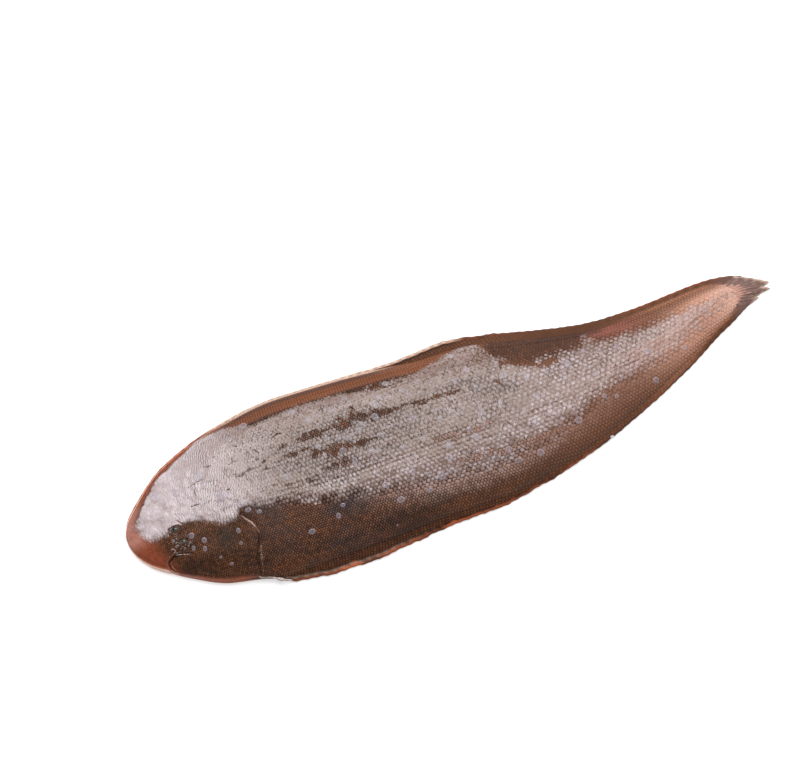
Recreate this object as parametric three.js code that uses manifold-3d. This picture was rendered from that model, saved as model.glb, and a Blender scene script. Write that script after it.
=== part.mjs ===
// A whole raw tongue sole lying on its blind side, eyed side up, as one solid.
//
// Millimetres, +Z up. The snout points along -X, the back (dorsal fin) along +Y, and the pale blind
// side lies on the plane z = 0. The origin is the middle of the footprint, on that plane.
//
// The fish is a loft. Stations stand square to a gently bent midline, two to every fin ray, and each
// is a ring of points over the eyed side, round the two fin edges and back along the blind side.

import * as THREE from 'three';
import { mergeVertices } from 'three/addons/utils/BufferGeometryUtils.js';
import Module from 'manifold-3d';

// ---- Driving dimensions ----------------------------------------------------------------------

const fishLength = 350; // snout to tail tip, in a straight line
const loftEnd = 338; // the lofted body stops here and the tail fin goes on
const rayPitch = 4.3; // from one fin ray to the next
const footprintMiddle = -11.45; // the midline's own frame is moved by this to centre the footprint

// Knots are [distance from the snout, value]. Between them runs a smooth curve.
const midlineKnots = [
  [0, -6.5], [20, -6.2], [45, -7.2], [80, -10], [130, -12.3], [190, -12.8],
  [240, -11.6], [285, -6.2], [315, 0.2], [335, 2.6], [fishLength, 0.6],
];
const dorsalEdgeKnots = [
  [0, 2.4], [0.5, 4.9], [2, 8], [4, 10.8], [8, 14.6], [13, 18.9], [25, 28.5], [50, 39.2], [80, 46.2], [115, 46.3],
  [150, 45.1], [190, 44.7], [225, 35.2], [260, 25.2], [300, 17.6], [330, 10.5], [345, 3],
];
const ventralEdgeKnots = [
  [0, 2.4], [0.4, 5.2], [1.7, 9.1], [4, 13.3], [8, 18], [12, 21.2], [16, 23.5], [25, 28.4], [40, 35], [60, 39.2], [76, 45.3],
  [105, 47.2], [150, 44.3], [190, 43], [225, 36.6], [260, 28.1], [300, 17.8], [330, 10.2], [345, 3.5],
];
const dorsalFinKnots = [
  [0, 0.8], [30, 1.4], [150, 2.2], [168, 5.2], [200, 5.4], [300, 4.4], [330, 3.4], [345, 1.5],
];
const ventralFinKnots = [
  [0, 0.8], [66, 0.8], [80, 4.6], [150, 4.8], [190, 3.4], [300, 3], [330, 3], [345, 1.5],
];
const thicknessKnots = [
  [0, 2.2], [4, 5.2], [12, 8.4], [28, 11.6], [50, 14.2], [90, 16.8], [140, 17.4], [190, 16],
  [240, 12.4], [290, 8], [320, 5], [345, 2],
];
const rimKnots = [[0, 1.7], [20, 2.8], [60, 3.6], [200, 3.4], [300, 2.4], [345, 1.4]];
const dorsalFullness = [[0, 2.6], [60, 3], [170, 3], [230, 2.3], [345, 2.2]];
const ventralFullness = [[0, 2.6], [60, 2.6], [345, 2.3]];

const topShares = [0.17, 0.34, 0.5, 0.64, 0.75, 0.81, 0.87, 0.94]; // ring points over the eyed side
const bottomShares = [0.9, 0.62]; // ring points under it; inside the last one the fish lies flat
const furrow = { share: 0.81, width: 0.03, depth: 0.55, from: 70, to: 300 }; // along the fin muscles
const finTipHeight = 0.55;
const finRootUnderside = 0.45;
const finRootThickness = 1.7;
const rayRelief = 0.16; // each ray stands this far proud of the membrane
const rayReach = 0.4; // and its tip this far past the fin's mean edge
const finSweep = 0.45; // share of its length by which a ray leans back towards the tail

const tailFin = { underside: 0.4, thickness: 1.1 };
const tailFinOutline = [ // [distance from the snout, height on the page of the fish laid level]
  [322, 8], [330, 11.6], [338, 9.4], [346.3, 4.3], [fishLength, 1.7], [346, 0.5], [349.4, -1.7],
  [343.4, -2.4], [340.7, -3], [341.2, -4.2], [338, -5], [330, -6.6], [322, -5],
];

const eyes = [
  { at: 24.5, across: -4.5, length: 4.4, width: 3.2 },
  { at: 26.6, across: -11.6, length: 4.2, width: 3 },
];
const eyeRise = 1.1;
const nostril = { at: 20, across: -14.1, radius: 0.7, height: 1.5 };
const mouthSlit = [
  [17.9, -26], [16.7, -23.1], [15.6, -20.8], [15.6, -18.2], [19.4, -16.6], [24, -17.3], [28.8, -18.5],
];
const gillEdge = [[56.5, -7.4], [59.9, -11.7], [63, -16], [63.4, -21], [60.6, -27], [59, -33], [58.6, -40]];
const slitRadius = 0.75;

// ---- Curves ----------------------------------------------------------------------------------

// Smooth curve through knots: each inner slope is the mean of the two chords that meet there.
function smooth(knots, x) {
  const chord = (i) => (knots[i + 1][1] - knots[i][1]) / (knots[i + 1][0] - knots[i][0]);
  const last = knots.length - 1;
  const slope = (i) => {
    if (i === 0) return chord(0);
    if (i === last) return chord(last - 1);
    return (chord(i - 1) + chord(i)) / 2;
  };
  if (x <= knots[0][0]) return knots[0][1];
  if (x >= knots[last][0]) return knots[last][1];
  let i = 0;
  while (x >= knots[i + 1][0]) i += 1;
  const span = knots[i + 1][0] - knots[i][0];
  const t = (x - knots[i][0]) / span;
  const squared = t * t;
  const cubed = squared * t;
  return (2 * cubed - 3 * squared + 1) * knots[i][1]
    + (cubed - 2 * squared + t) * span * slope(i)
    + (3 * squared - 2 * cubed) * knots[i + 1][1]
    + (cubed - squared) * span * slope(i + 1);
}

// The same for values that start like a circle at the snout: smooth over the root of the distance.
const rooted = (knots) => knots.map(([x, value]) => [Math.sqrt(x), value]);
const roundSmooth = (knots, x) => smooth(rooted(knots), Math.sqrt(Math.max(x, 0)));

// A point that lies a distance from the snout, so far across the midline (+ to the back), so high.
function place(at, across, height) {
  const step = 0.05;
  const ahead = smooth(midlineKnots, Math.min(at + step, fishLength));
  const behind = smooth(midlineKnots, Math.max(at - step, 0));
  const angle = Math.atan2(ahead - behind, 2 * step);
  return new THREE.Vector3(
    at - across * Math.sin(angle) - fishLength / 2,
    smooth(midlineKnots, at) + across * Math.cos(angle) - footprintMiddle,
    height,
  );
}

// ---- The fish's section at a station -----------------------------------------------------------

const edgeWidth = (at, sign) => roundSmooth(sign > 0 ? dorsalEdgeKnots : ventralEdgeKnots, at);

// One side of the section: how far the body reaches, and how far its fin reaches past that.
function side(at, sign) {
  const dorsal = sign > 0;
  const edge = edgeWidth(at, sign);
  const fin = Math.min(smooth(dorsal ? dorsalFinKnots : ventralFinKnots, at), edge * 0.5);
  const fullness = smooth(dorsal ? dorsalFullness : ventralFullness, at);
  return { fin, body: edge - fin, fullness };
}

// Height of the eyed side at a share of the body's half width, 0 on the midline and 1 at the fin.
function topHeight(at, sign, share) {
  const crown = roundSmooth(thicknessKnots, at);
  const rim = Math.min(smooth(rimKnots, at), crown);
  const { fullness } = side(at, sign);
  const dome = (1 - share ** fullness) ** 0.72;
  const inFurrow = Math.exp(-(((share - furrow.share) / furrow.width) ** 2));
  const along = THREE.MathUtils.smoothstep(at, furrow.from - 20, furrow.from + 20)
    * (1 - THREE.MathUtils.smoothstep(at, furrow.to - 30, furrow.to + 30));
  return rim + (crown - rim) * dome - furrow.depth * inFurrow * along;
}

function surfacePoint(at, across, lift = 0) {
  const sign = across < 0 ? -1 : 1;
  const share = Math.min(Math.abs(across) / side(at, sign).body, 1);
  return place(at, across, topHeight(at, sign, share) + lift);
}

// One side of a ring, from the midline out over the top, round the fin's tip and back underneath.
function ringSide(at, sign, onRay) {
  const { fin, body } = side(at, sign);
  const rim = topHeight(at, sign, 1);
  const finScale = Math.min(fin / 3, 1);
  const relief = (onRay ? rayRelief : -rayRelief) * finScale;
  const reach = (onRay ? rayReach : -rayReach) * finScale;
  const rootTop = Math.min(rim, finRootUnderside + finRootThickness) + relief;
  const points = topShares.map((share) => place(at, sign * share * body, topHeight(at, sign, share)));
  points.push(place(at, sign * body, rootTop));
  const tipAt = at + finSweep * fin;
  points.push(place(tipAt, sign * (edgeWidth(tipAt, sign) + reach), finTipHeight));
  points.push(place(at, sign * body, finRootUnderside));
  points.push(place(at, sign * bottomShares[0] * body, 0.12));
  points.push(place(at, sign * bottomShares[1] * body, 0));
  return points;
}

function ring(at, onRay) {
  const ventral = ringSide(at, -1, onRay);
  const dorsal = ringSide(at, 1, onRay);
  const tip = topShares.length + 1;
  const crown = place(at, 0, topHeight(at, 1, 0));
  const keel = place(at, 0, 0);
  return [
    ...ventral.slice(0, tip + 1).reverse(), crown, ...dorsal.slice(0, tip + 1),
    ...dorsal.slice(tip + 1), keel, ...ventral.slice(tip + 1).reverse(),
  ];
}

function stations() {
  const list = [0, 0.4, 1.1, 2.1, 3.2].map((at) => ({ at, onRay: false }));
  const step = rayPitch / 2;
  for (let i = 2; i * step < loftEnd; i += 1) list.push({ at: i * step, onRay: i % 2 === 0 });
  return list;
}

// ---- Closed meshes and booleans ------------------------------------------------------------------

function meshFrom(points, triangles) {
  const geometry = new THREE.BufferGeometry();
  geometry.setAttribute('position', new THREE.Float32BufferAttribute(points.flatMap((p) => [p.x, p.y, p.z]), 3));
  geometry.setIndex(triangles);
  return geometry;
}

function loftedBody() {
  const rings = stations().map(({ at, onRay }) => ring(at, onRay));
  const count = rings[0].length;
  const points = rings.flat();
  const triangles = [];
  for (let i = 0; i + 1 < rings.length; i += 1) {
    for (let j = 0; j < count; j += 1) {
      const here = i * count + j;
      const next = i * count + ((j + 1) % count);
      triangles.push(here, here + count, next + count, here, next + count, next);
    }
  }
  const cap = (ringIndex, outward) => {
    const first = ringIndex * count;
    const centre = rings[ringIndex].reduce((sum, p) => sum.add(p), new THREE.Vector3()).divideScalar(count);
    points.push(centre);
    for (let j = 0; j < count; j += 1) {
      const a = first + j;
      const b = first + ((j + 1) % count);
      triangles.push(points.length - 1, ...(outward ? [b, a] : [a, b]));
    }
  };
  cap(0, false);
  cap(rings.length - 1, true);
  return meshFrom(points, triangles);
}

function tailFinBlade() {
  const outline = new THREE.Shape(tailFinOutline.map(([x, y]) => (
    new THREE.Vector2(x - fishLength / 2, y - footprintMiddle))));
  const blade = new THREE.ExtrudeGeometry(outline, { depth: tailFin.thickness, bevelEnabled: false });
  return blade.translate(0, 0, tailFin.underside);
}

function eyeDome({ at, across, length, width }) {
  const dome = new THREE.SphereGeometry(1, 18, 12).rotateX(Math.PI / 2);
  dome.scale(length / 2, width / 2, eyeRise * 2);
  const centre = surfacePoint(at, across, -eyeRise);
  return dome.translate(centre.x, centre.y, centre.z);
}

function nostrilTube() {
  const tube = new THREE.CylinderGeometry(nostril.radius * 0.7, nostril.radius, nostril.height * 2, 10);
  const foot = surfacePoint(nostril.at, nostril.across);
  return tube.rotateX(Math.PI / 2).translate(foot.x, foot.y, foot.z);
}

// A six-sided rod that follows the eyed side, to be cut out of it as a slit.
function slit(route) {
  const section = new THREE.Shape();
  for (let i = 0; i < 6; i += 1) {
    const angle = (i * Math.PI) / 3;
    const corner = [slitRadius * Math.cos(angle), slitRadius * Math.sin(angle)];
    if (i === 0) section.moveTo(...corner);
    else section.lineTo(...corner);
  }
  const path = new THREE.CatmullRomCurve3(route.map(([at, across]) => surfacePoint(at, across)));
  return new THREE.ExtrudeGeometry(section, { steps: 3 * route.length, extrudePath: path, bevelEnabled: false });
}

const wasm = await Module();
wasm.setup();

function solid(geometry) {
  const bare = geometry.clone();
  bare.deleteAttribute('normal');
  bare.deleteAttribute('uv');
  const merged = mergeVertices(bare, 1e-4);
  return new wasm.Manifold(new wasm.Mesh({
    numProp: 3,
    vertProperties: new Float32Array(merged.attributes.position.array),
    triVerts: new Uint32Array(merged.index.array),
  }));
}

function tongueSole() {
  const added = [tailFinBlade(), ...eyes.map(eyeDome), nostrilTube()];
  const cut = [slit(mouthSlit), slit(gillEdge)];
  let fish = solid(loftedBody());
  for (const geometry of added) fish = fish.add(solid(geometry));
  for (const geometry of cut) fish = fish.subtract(solid(geometry));
  const { vertProperties, triVerts } = fish.getMesh();
  const geometry = new THREE.BufferGeometry();
  geometry.setAttribute('position', new THREE.BufferAttribute(vertProperties, 3));
  geometry.setIndex(new THREE.BufferAttribute(triVerts, 1));
  geometry.computeVertexNormals();
  const skin = new THREE.MeshStandardMaterial({ color: 0x4b3429, roughness: 0.4, metalness: 0 });
  const mesh = new THREE.Mesh(geometry, skin);
  mesh.name = 'tongue_sole';
  return mesh;
}

const model = new THREE.Group();
model.add(tongueSole());

export default model;
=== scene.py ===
"""A whole raw tongue sole lying on its blind side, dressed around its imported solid.

The script is laid out as an add-on and run as a script: each operator makes one piece or a group of
like pieces, and main() calls them in order. Lengths in the shape tables are millimetres, as in the
part's source; a mesh is written in metres.
"""

import math
from types import SimpleNamespace

import bpy
import numpy as np
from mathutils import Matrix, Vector


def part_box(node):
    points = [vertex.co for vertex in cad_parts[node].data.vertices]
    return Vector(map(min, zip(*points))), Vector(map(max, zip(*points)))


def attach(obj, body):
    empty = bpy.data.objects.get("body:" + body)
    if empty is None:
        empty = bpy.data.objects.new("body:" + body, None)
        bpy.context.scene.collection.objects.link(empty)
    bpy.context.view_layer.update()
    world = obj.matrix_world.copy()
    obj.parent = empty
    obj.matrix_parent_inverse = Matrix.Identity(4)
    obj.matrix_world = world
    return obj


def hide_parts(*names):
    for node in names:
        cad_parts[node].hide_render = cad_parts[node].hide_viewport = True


bl_info = {
    "name": "Tongue sole",
    "version": (1, 0, 0),
    "blender": (4, 5, 0),
    "location": "3D View > Sidebar > Tongue sole",
    "description": "Builds a wet raw tongue sole around its packed solid",
    "category": "Add Mesh",
}

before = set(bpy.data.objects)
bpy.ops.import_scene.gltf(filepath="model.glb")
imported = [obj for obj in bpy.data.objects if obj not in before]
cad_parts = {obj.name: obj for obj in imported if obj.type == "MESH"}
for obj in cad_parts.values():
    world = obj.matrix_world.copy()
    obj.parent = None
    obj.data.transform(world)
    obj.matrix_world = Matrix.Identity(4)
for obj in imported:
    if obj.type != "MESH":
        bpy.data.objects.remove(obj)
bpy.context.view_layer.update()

NODE = "tongue_sole"
BODY = "root"
MM = 0.001
FISH_LENGTH = round(2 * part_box(NODE)[1].x / MM, 3)
FOOTPRINT_MIDDLE = -11.45  # across the fish, from the line its shape is drawn on

# ---- The fish's form, as in the part's source: [distance from the snout, value] -------------------

MIDLINE = [
    [0, -6.5], [20, -6.2], [45, -7.2], [80, -10], [130, -12.3], [190, -12.8],
    [240, -11.6], [285, -6.2], [315, 0.2], [335, 2.6], [350, 0.6],
]
DORSAL_EDGE = [
    [0, 2.4], [0.5, 4.9], [2, 8.0], [4, 10.8], [8, 14.6], [13, 18.9], [25, 28.5], [50, 39.2],
    [80, 46.2], [115, 46.3], [150, 45.1], [190, 44.7], [225, 35.2], [260, 25.2], [300, 17.6],
    [330, 10.5], [345, 3],
]
VENTRAL_EDGE = [
    [0, 2.4], [0.4, 5.2], [1.7, 9.1], [4, 13.3], [8, 18.0], [12, 21.2], [16, 23.5], [25, 28.4],
    [40, 35], [60, 39.2], [76, 45.3], [105, 47.2], [150, 44.3], [190, 43], [225, 36.6], [260, 28.1],
    [300, 17.8], [330, 10.2], [345, 3.5],
]
DORSAL_FIN = [
    [0, 0.8], [30, 1.4], [150, 2.2], [168, 5.2], [200, 5.4], [300, 4.4], [330, 3.4], [345, 1.5],
]
VENTRAL_FIN = [[0, 0.8], [66, 0.8], [80, 4.6], [150, 4.8], [190, 3.4], [300, 3], [330, 3], [345, 1.5]]
THICKNESS = [
    [0, 2.2], [4, 5.2], [12, 8.4], [28, 11.6], [50, 14.2], [90, 16.8], [140, 17.4], [190, 16],
    [240, 12.4], [290, 8], [320, 5], [345, 2],
]
RIM = [[0, 1.7], [20, 2.8], [60, 3.6], [200, 3.4], [300, 2.4], [345, 1.4]]
DORSAL_FULLNESS = [[0, 2.6], [60, 3], [170, 3], [230, 2.3], [345, 2.2]]
VENTRAL_FULLNESS = [[0, 2.6], [60, 2.6], [345, 2.3]]
DOME_POWER = 0.72  # rounds the section
RAY_PITCH = 4.3  # from one fin ray to the next
FIN_SWEEP = 0.45  # rays lean back by this share of their length
FIN_MUSCLE_BAR = 1.43  # from one bar of the fin muscles to the next
CORE_CLOSES = (320, 335.5)  # the body narrows to its rounded end between these

# ---- Where things lie on the eyed side: (distance from the snout, across), + across to the back ---

EYES = [(24.5, -4.5, 4.4, 3.2), (26.6, -11.6, 4.2, 3.0)]  # and length, width
MOUTH = [
    (17.9, -26), (16.7, -23.1), (15.6, -20.8), (15.6, -18.2), (19.4, -16.6), (24, -17.3), (28.8, -18.5),
]
GILL_EDGE = [[-40, 58.6], [-33, 59], [-27, 60.6], [-21, 63.4], [-16, 63], [-11.7, 59.9], [-7.4, 56.5]]
CHEEK_RIDGE = [[-30, 43.5], [-20, 41], [-13, 43.8], [-6, 42.4]]
MIDDLE_LINE = [
    [0, -4], [60, -1], [81, -2.2], [108, -6.5], [146, -6.3], [181, -7.1], [219, -9], [252, -4.2],
    [274, -4.8], [297, -5.2], [327, -0.7], [350, 0],
]
UPPER_LINE = [
    [0, 8], [40, 13], [64, 12.5], [76, 14.6], [100, 22], [126, 28.5], [156, 30.5], [195, 29],
    [230, 22], [260, 15], [300, 9], [328, 4], [350, 2],
]
LOWER_LINE = [
    [60, -24], [90, -31], [120, -34.5], [169, -34.5], [192, -34], [230, -28], [260, -20.5],
    [300, -12], [350, -3],
]
PORE_LINES = [  # and how strong each is, and where it begins
    (MIDDLE_LINE, 1.0, 70), (UPPER_LINE, 0.8, 45), (LOWER_LINE, 0.7, 80),
]

# The film of water and slime, and the sheen painted on it, lies between these two lines, apart from the
# bare streaks.
FILM_LOW = [
    [6, 0.8], [6.5, -0.3], [8.5, -3.4], [14.9, -6.9], [20, -6.4], [23, -4.2], [29, -4.5], [35, -4.8],
    [41.4, -7.6], [46, -9.7], [51.7, -11.3], [55, -10.5], [57.6, -7.2], [62.4, -6.6], [68, -8.3],
    [79, -9.2], [86, -12], [95, -14.5], [115, -18], [135, -21.5], [150, -24.2], [165, -25.6],
    [190, -26.5], [219, -23], [240, -17], [253, -14], [276, -12.5], [301, -9], [324, -4], [350, -1.5],
]
FILM_HIGH = [
    [6, 3], [7.2, 5.9], [10, 9], [13.5, 12.9], [17, 17], [22.4, 22.2], [29.5, 26], [38.5, 30.8],
    [46, 35.5], [58.8, 37.8], [66.9, 36.9], [74.8, 34.7], [83.6, 35.2], [92.5, 36.6], [117.5, 36.3],
    [134, 34.7], [150.5, 33.6], [158.9, 33.2], [171.4, 35.2], [183.7, 38.1], [195.2, 39],
    [199, 34.5], [202, 27.5], [207, 24], [211, 18.5], [219, 17.3], [232, 15.6], [245, 15.2],
    [249, 17.6], [254, 14.3], [266, 10.9], [279, 9.1], [305, 4], [323, 2], [350, 0],
]
BARE_STREAKS = [  # paths of (distance from the snout, across, half width) along which the film is torn
    [(95, 19, 1.2), (109, 20, 3.0), (117, 20, 4.4), (124, 21.4, 4.8), (129, 20, 4.2), (136, 18.8, 3.2),
     (145, 18.4, 2.0), (152, 18.1, 1.8), (160, 16.7, 1.2), (170, 16.2, 1.1), (179, 15.7, 1.0)],
    [(127, 34.8, 1.0), (134, 34, 1.7), (141, 32.6, 1.5), (154, 30.3, 1.2)],
    [(59, 10.6, 0.5), (65, 11.4, 1.0), (73, 12.2, 1.2), (79, 15.6, 1.0), (88, 18.5, 0.9)],
    [(73.6, 10.4, 0.7), (79, 10.2, 1.3), (85, 12.2, 1.1), (92, 13.2, 1.6), (98, 12.6, 0.8)],
    [(100, 10, 2.2), (112, 9, 4.0), (122, 7, 3.0), (134, 6.8, 1.0)],
    [(104, 0, 2.0), (116, 0.5, 3.0), (126, -1.5, 1.6)],
    [(163, -17.6, 0.8), (170, -18.4, 1.6), (181, -19, 2.2), (194, -20.1, 2.4), (208, -20.3, 2.2),
     (218, -20.8, 2.0), (229, -21.8, 1.2)],
    [(204, 21.8, 2.0), (212, 19.5, 3.2), (222, 13.6, 2.2), (232, 12.4, 1.5)],
    [(160, -4, 1.6), (176, -6.5, 2.2), (190, -5, 1.4)],
    [(241, -14, 0.8), (252, -12.5, 1.4), (260, -13, 0.8)],
    [(198, 13, 0.8), (202.5, 8.2, 1.1)],
]
MARKS = [  # small dark marks in the film on and behind the head, laid out in the same way
    [(54.4, 5.6, 0.9), (55.4, 5.6, 0.9)],
    [(35.5, 3.4, 0.7), (37.5, 3.5, 0.9), (40.5, 3.1, 0.2)],
    [(36.6, 13.0, 0.4), (44.2, 14.9, 0.5)],
    [(52.0, 23.8, 0.5), (52.9, 24.0, 0.5)],
    [(39.6, 11.4, 0.25), (39.0, 9.3, 0.45), (39.2, 7.2, 0.25)],
    [(26.8, -0.7, 0.25), (29.0, -3.4, 0.4), (30.4, -6.0, 0.25)],
    [(64.9, 10.0, 0.3), (65.2, 7.4, 0.5)],
    [(62.2, 27.6, 0.5), (64.2, 25.6, 0.6)],
    [(46.5, 20.8, 0.25), (48.6, 19.8, 0.45), (50.4, 20.4, 0.25)],
    [(58.2, 17.6, 0.3), (60.6, 18.6, 0.5), (63.0, 18.2, 0.3)],
    [(71.0, 22.0, 0.3), (73.4, 20.4, 0.6), (74.2, 18.8, 0.3)],
    [(83.0, 24.6, 0.4), (86.0, 25.6, 0.7), (88.0, 25.2, 0.3)],
]
WORN_PATCHES = [  # where the film is thin and speckled, laid out in the same way
    [(88, 10, 7), (110, 13, 12), (135, 12, 10), (152, 10, 5)],
    [(96, -2, 5), (118, -4, 8), (140, 0, 4)],
    [(176, 20, 4), (192, 14, 5), (206, 8, 3)],
    [(226, 12, 8), (246, 9, 10), (266, 6, 6), (284, 3, 3)],
]

CHOSEN_DROPS = [  # drops that stand out: (distance from the snout, across, radius)
    (31.3, -10.2, 1.5), (36.6, -14.3, 1.4), (30.3, -16.2, 1.1), (35.7, -18.4, 1.2), (23.8, -7.4, 0.8),
    (21.9, -9.5, 0.8), (22.6, -12.6, 0.8), (28.9, -13.4, 0.6), (12.7, -1.0, 1.0), (43.0, 3.3, 0.9),
    (62.6, 27.5, 1.1), (30.3, 12.4, 1.7), (53.5, 34.9, 1.2), (54.3, -15.3, 1.2), (66.6, -9.4, 1.2),
    (53.8, -21.4, 0.9), (83.8, 2.9, 1.6), (46.2, -29.3, 0.9), (41.9, -24.8, 0.7), (37.0, -3.4, 0.8),
    (35.8, 8.1, 0.9), (19.9, 2.1, 0.8), (52.3, -2.4, 0.9), (115.7, 27.8, 1.3), (114.3, 13.5, 1.6),
    (113.9, 6.9, 1.4), (118.1, 0.0, 1.7), (102.9, 12.8, 1.5), (127.0, 16.5, 1.4), (153.0, -1.2, 1.4),
    (183.0, 35.3, 1.6), (154.6, 23.2, 1.2), (145.2, 25.5, 1.1), (213.8, -1.0, 1.6), (195.8, 2.3, 1.5),
    (208.1, -13.2, 1.5), (205.2, -5.9, 1.0), (147.7, -25.9, 1.3), (102.1, -23.0, 1.3), (87.8, -26.2, 1.5),
    (127.5, -35.8, 0.5), (191.8, 21.3, 0.9), (223.5, 9.4, 1.3), (231.2, 2.1, 1.3), (240.5, -32.7, 0.8),
    (271.6, -17.9, 1.6), (250.7, 19.5, 1.3), (253.9, 7.0, 0.8), (273.7, 0.9, 0.7), (291.6, -8.2, 0.8),
]

EYE_BEADS = [  # small wet lumps round the eyes, laid out in the same way
    (23.6, -9.3, 0.75), (22.9, -10.9, 0.6), (23.2, -12.6, 0.7), (24.4, -14.2, 0.6), (26.0, -14.9, 0.8),
    (28.2, -14.6, 0.6), (29.8, -13.2, 0.75), (29.9, -9.6, 0.6), (26.6, -8.6, 0.55), (21.8, -5.2, 0.6),
    (24.9, -7.2, 0.5), (21.6, -15.6, 0.65),
]

# ---- Lattices of scales ---------------------------------------------------------------------------

SCALE_PITCH = [  # half a scale's length under the film
    [0, 0.8], [50, 0.82], [85, 0.95], [130, 1.08], [175, 1.26], [220, 1.36], [280, 1.46], [345, 1.5],
]
SCALE_RISE = [[0, 0.35], [45, 0.5], [110, 1], [290, 1], [345, 0.5]]
SCALE_ROW = 4.3  # from a scale to the next across the fish, on the midline
EDGE_ROWS = 0.3  # rows crowd towards the fins by this
FINE_PITCH = [  # half a scale's length elsewhere
    [0, 0.60], [50, 0.63], [75, 0.65], [110, 0.68], [150, 0.74], [200, 0.84], [250, 0.88], [345, 0.80],
]
FINE_ROW = 3.2  # times the pitch

STEP = 0.05  # of the sums and slopes along the fish
ALONG = np.arange(0, FISH_LENGTH + STEP, STEP)

# ---- Curves, places and noise ---------------------------------------------------------------------


def smooth(knots, x):
    """Smooth curve through knots: each inner slope is the mean of the two chords that meet there."""
    xs, ys = np.array(knots, float).T
    chords = np.diff(ys) / np.diff(xs)
    slopes = np.concatenate([chords[:1], (chords[1:] + chords[:-1]) / 2, chords[-1:]])
    x = np.clip(x, xs[0], xs[-1])
    i = np.clip(np.searchsorted(xs, x, side="right") - 1, 0, len(xs) - 2)
    span = xs[i + 1] - xs[i]
    t = (x - xs[i]) / span
    return (
        (2 * t**3 - 3 * t**2 + 1) * ys[i]
        + (t**3 - 2 * t**2 + t) * span * slopes[i]
        + (3 * t**2 - 2 * t**3) * ys[i + 1]
        + (t**3 - t**2) * span * slopes[i + 1]
    )


def round_smooth(knots, x):
    """The same, for values that start like a circle at the snout."""
    return smooth([[math.sqrt(a), b] for a, b in knots], np.sqrt(np.maximum(x, 0)))


def ease(x, low, high):
    """0 below low, 1 above high, and smooth between."""
    t = np.clip((x - low) / (high - low), 0, 1)
    return t * t * (3 - 2 * t)


def ridge(distance, width):
    """1 at no distance, and a bell's fall on both sides."""
    return np.exp(-((distance / width) ** 2))


def place(at, across, height):
    """Points in metres, from distances along and across the fish and heights."""
    at, across, height = np.broadcast_arrays(*(np.asarray(v, float) for v in (at, across, height)))
    rise = smooth(MIDLINE, at + STEP) - smooth(MIDLINE, at - STEP)
    angle = np.arctan2(rise, 2 * STEP)
    x = at - across * np.sin(angle) - FISH_LENGTH / 2
    y = smooth(MIDLINE, at) + across * np.cos(angle) - FOOTPRINT_MIDDLE
    return np.stack([x, y, height], -1) * MM


def hashed(i, j, seed):
    """A repeatable number from 0 to 1 for each pair of whole numbers."""
    mixed = np.sin(i * 127.1 + j * 311.7 + seed * 74.7) * 43758.5453
    return mixed - np.floor(mixed)


def value_noise(x, y, seed):
    """Smooth noise from -1 to 1 with one bump to a unit."""
    i, j = np.floor(x), np.floor(y)
    s, t = ease(x - i, 0, 1), ease(y - j, 0, 1)
    low = hashed(i, j, seed) * (1 - s) + hashed(i + 1, j, seed) * s
    high = hashed(i, j + 1, seed) * (1 - s) + hashed(i + 1, j + 1, seed) * s
    return 2 * (low * (1 - t) + high * t) - 1


def to_stretch(at, across, start, end):
    """How far points lie from a straight stretch, and how far along it their nearest places lie."""
    da, dc = end[0] - start[0], end[1] - start[1]
    t = np.clip(((at - start[0]) * da + (across - start[1]) * dc) / (da * da + dc * dc), 0, 1)
    return np.hypot(at - start[0] - t * da, across - start[1] - t * dc), t


def distance_to_path(at, across, path):
    """How far points on the eyed side are from a path of straight stretches."""
    nearest = np.full(np.shape(at), 1e9)
    for start, end in zip(path[:-1], path[1:]):
        nearest = np.minimum(nearest, to_stretch(at, across, start, end)[0])
    return nearest


def inside_paths(at, across, paths):
    """How deep inside paths of changing width points lie: 1 in the middle, 0 at the edge."""
    depth = np.full(np.shape(at), -9.0)
    for path in paths:
        for start, end in zip(path[:-1], path[1:]):
            away, t = to_stretch(at, across, start, end)
            depth = np.maximum(depth, 1 - away / (start[2] + t * (end[2] - start[2])))
    return depth


# ---- Section of the body --------------------------------------------------------------------------


def edge_width(at, dorsal):
    """From the midline to the fins' tips."""
    return np.where(dorsal, round_smooth(DORSAL_EDGE, at), round_smooth(VENTRAL_EDGE, at))


def fin_width(at, dorsal):
    """From the body's rim to the fin's tips."""
    fin = np.where(dorsal, smooth(DORSAL_FIN, at), smooth(VENTRAL_FIN, at))
    return np.minimum(fin, edge_width(at, dorsal) * 0.5)


def body_width(at, dorsal):
    """From the midline to the fin's root. The body closes to a rounded end in front of the tail fin."""
    start, end = CORE_CLOSES
    closing = np.sqrt(np.clip(1 - (np.clip(at - start, 0, None) / (end - start)) ** 2, 0, 1))
    return (edge_width(at, dorsal) - fin_width(at, dorsal)) * closing


def rim_height(at):
    """Height of the body at the fins' roots."""
    return np.minimum(smooth(RIM, at), round_smooth(THICKNESS, at))


def flattening(at):
    """1 along the body, and less towards its rounded end."""
    return 1 - 0.45 * ease(at, *CORE_CLOSES)


def top_height(at, dorsal, share):
    """Height of the smooth eyed side at a share of the way from the midline to the fin's root."""
    crown = round_smooth(THICKNESS, at)
    fullness = np.where(dorsal, smooth(DORSAL_FULLNESS, at), smooth(VENTRAL_FULLNESS, at))
    dome = (1 - np.clip(share, 0, 1) ** fullness) ** DOME_POWER
    return (rim_height(at) + (crown - rim_height(at)) * dome) * flattening(at)


def count_columns(pitch, at):
    """Columns from the snout to a place, each as long as the pitch there."""
    columns = np.concatenate([[0], np.cumsum(STEP / smooth(pitch, ALONG[:-1] + STEP / 2))])
    return np.interp(at, ALONG, columns)


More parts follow.
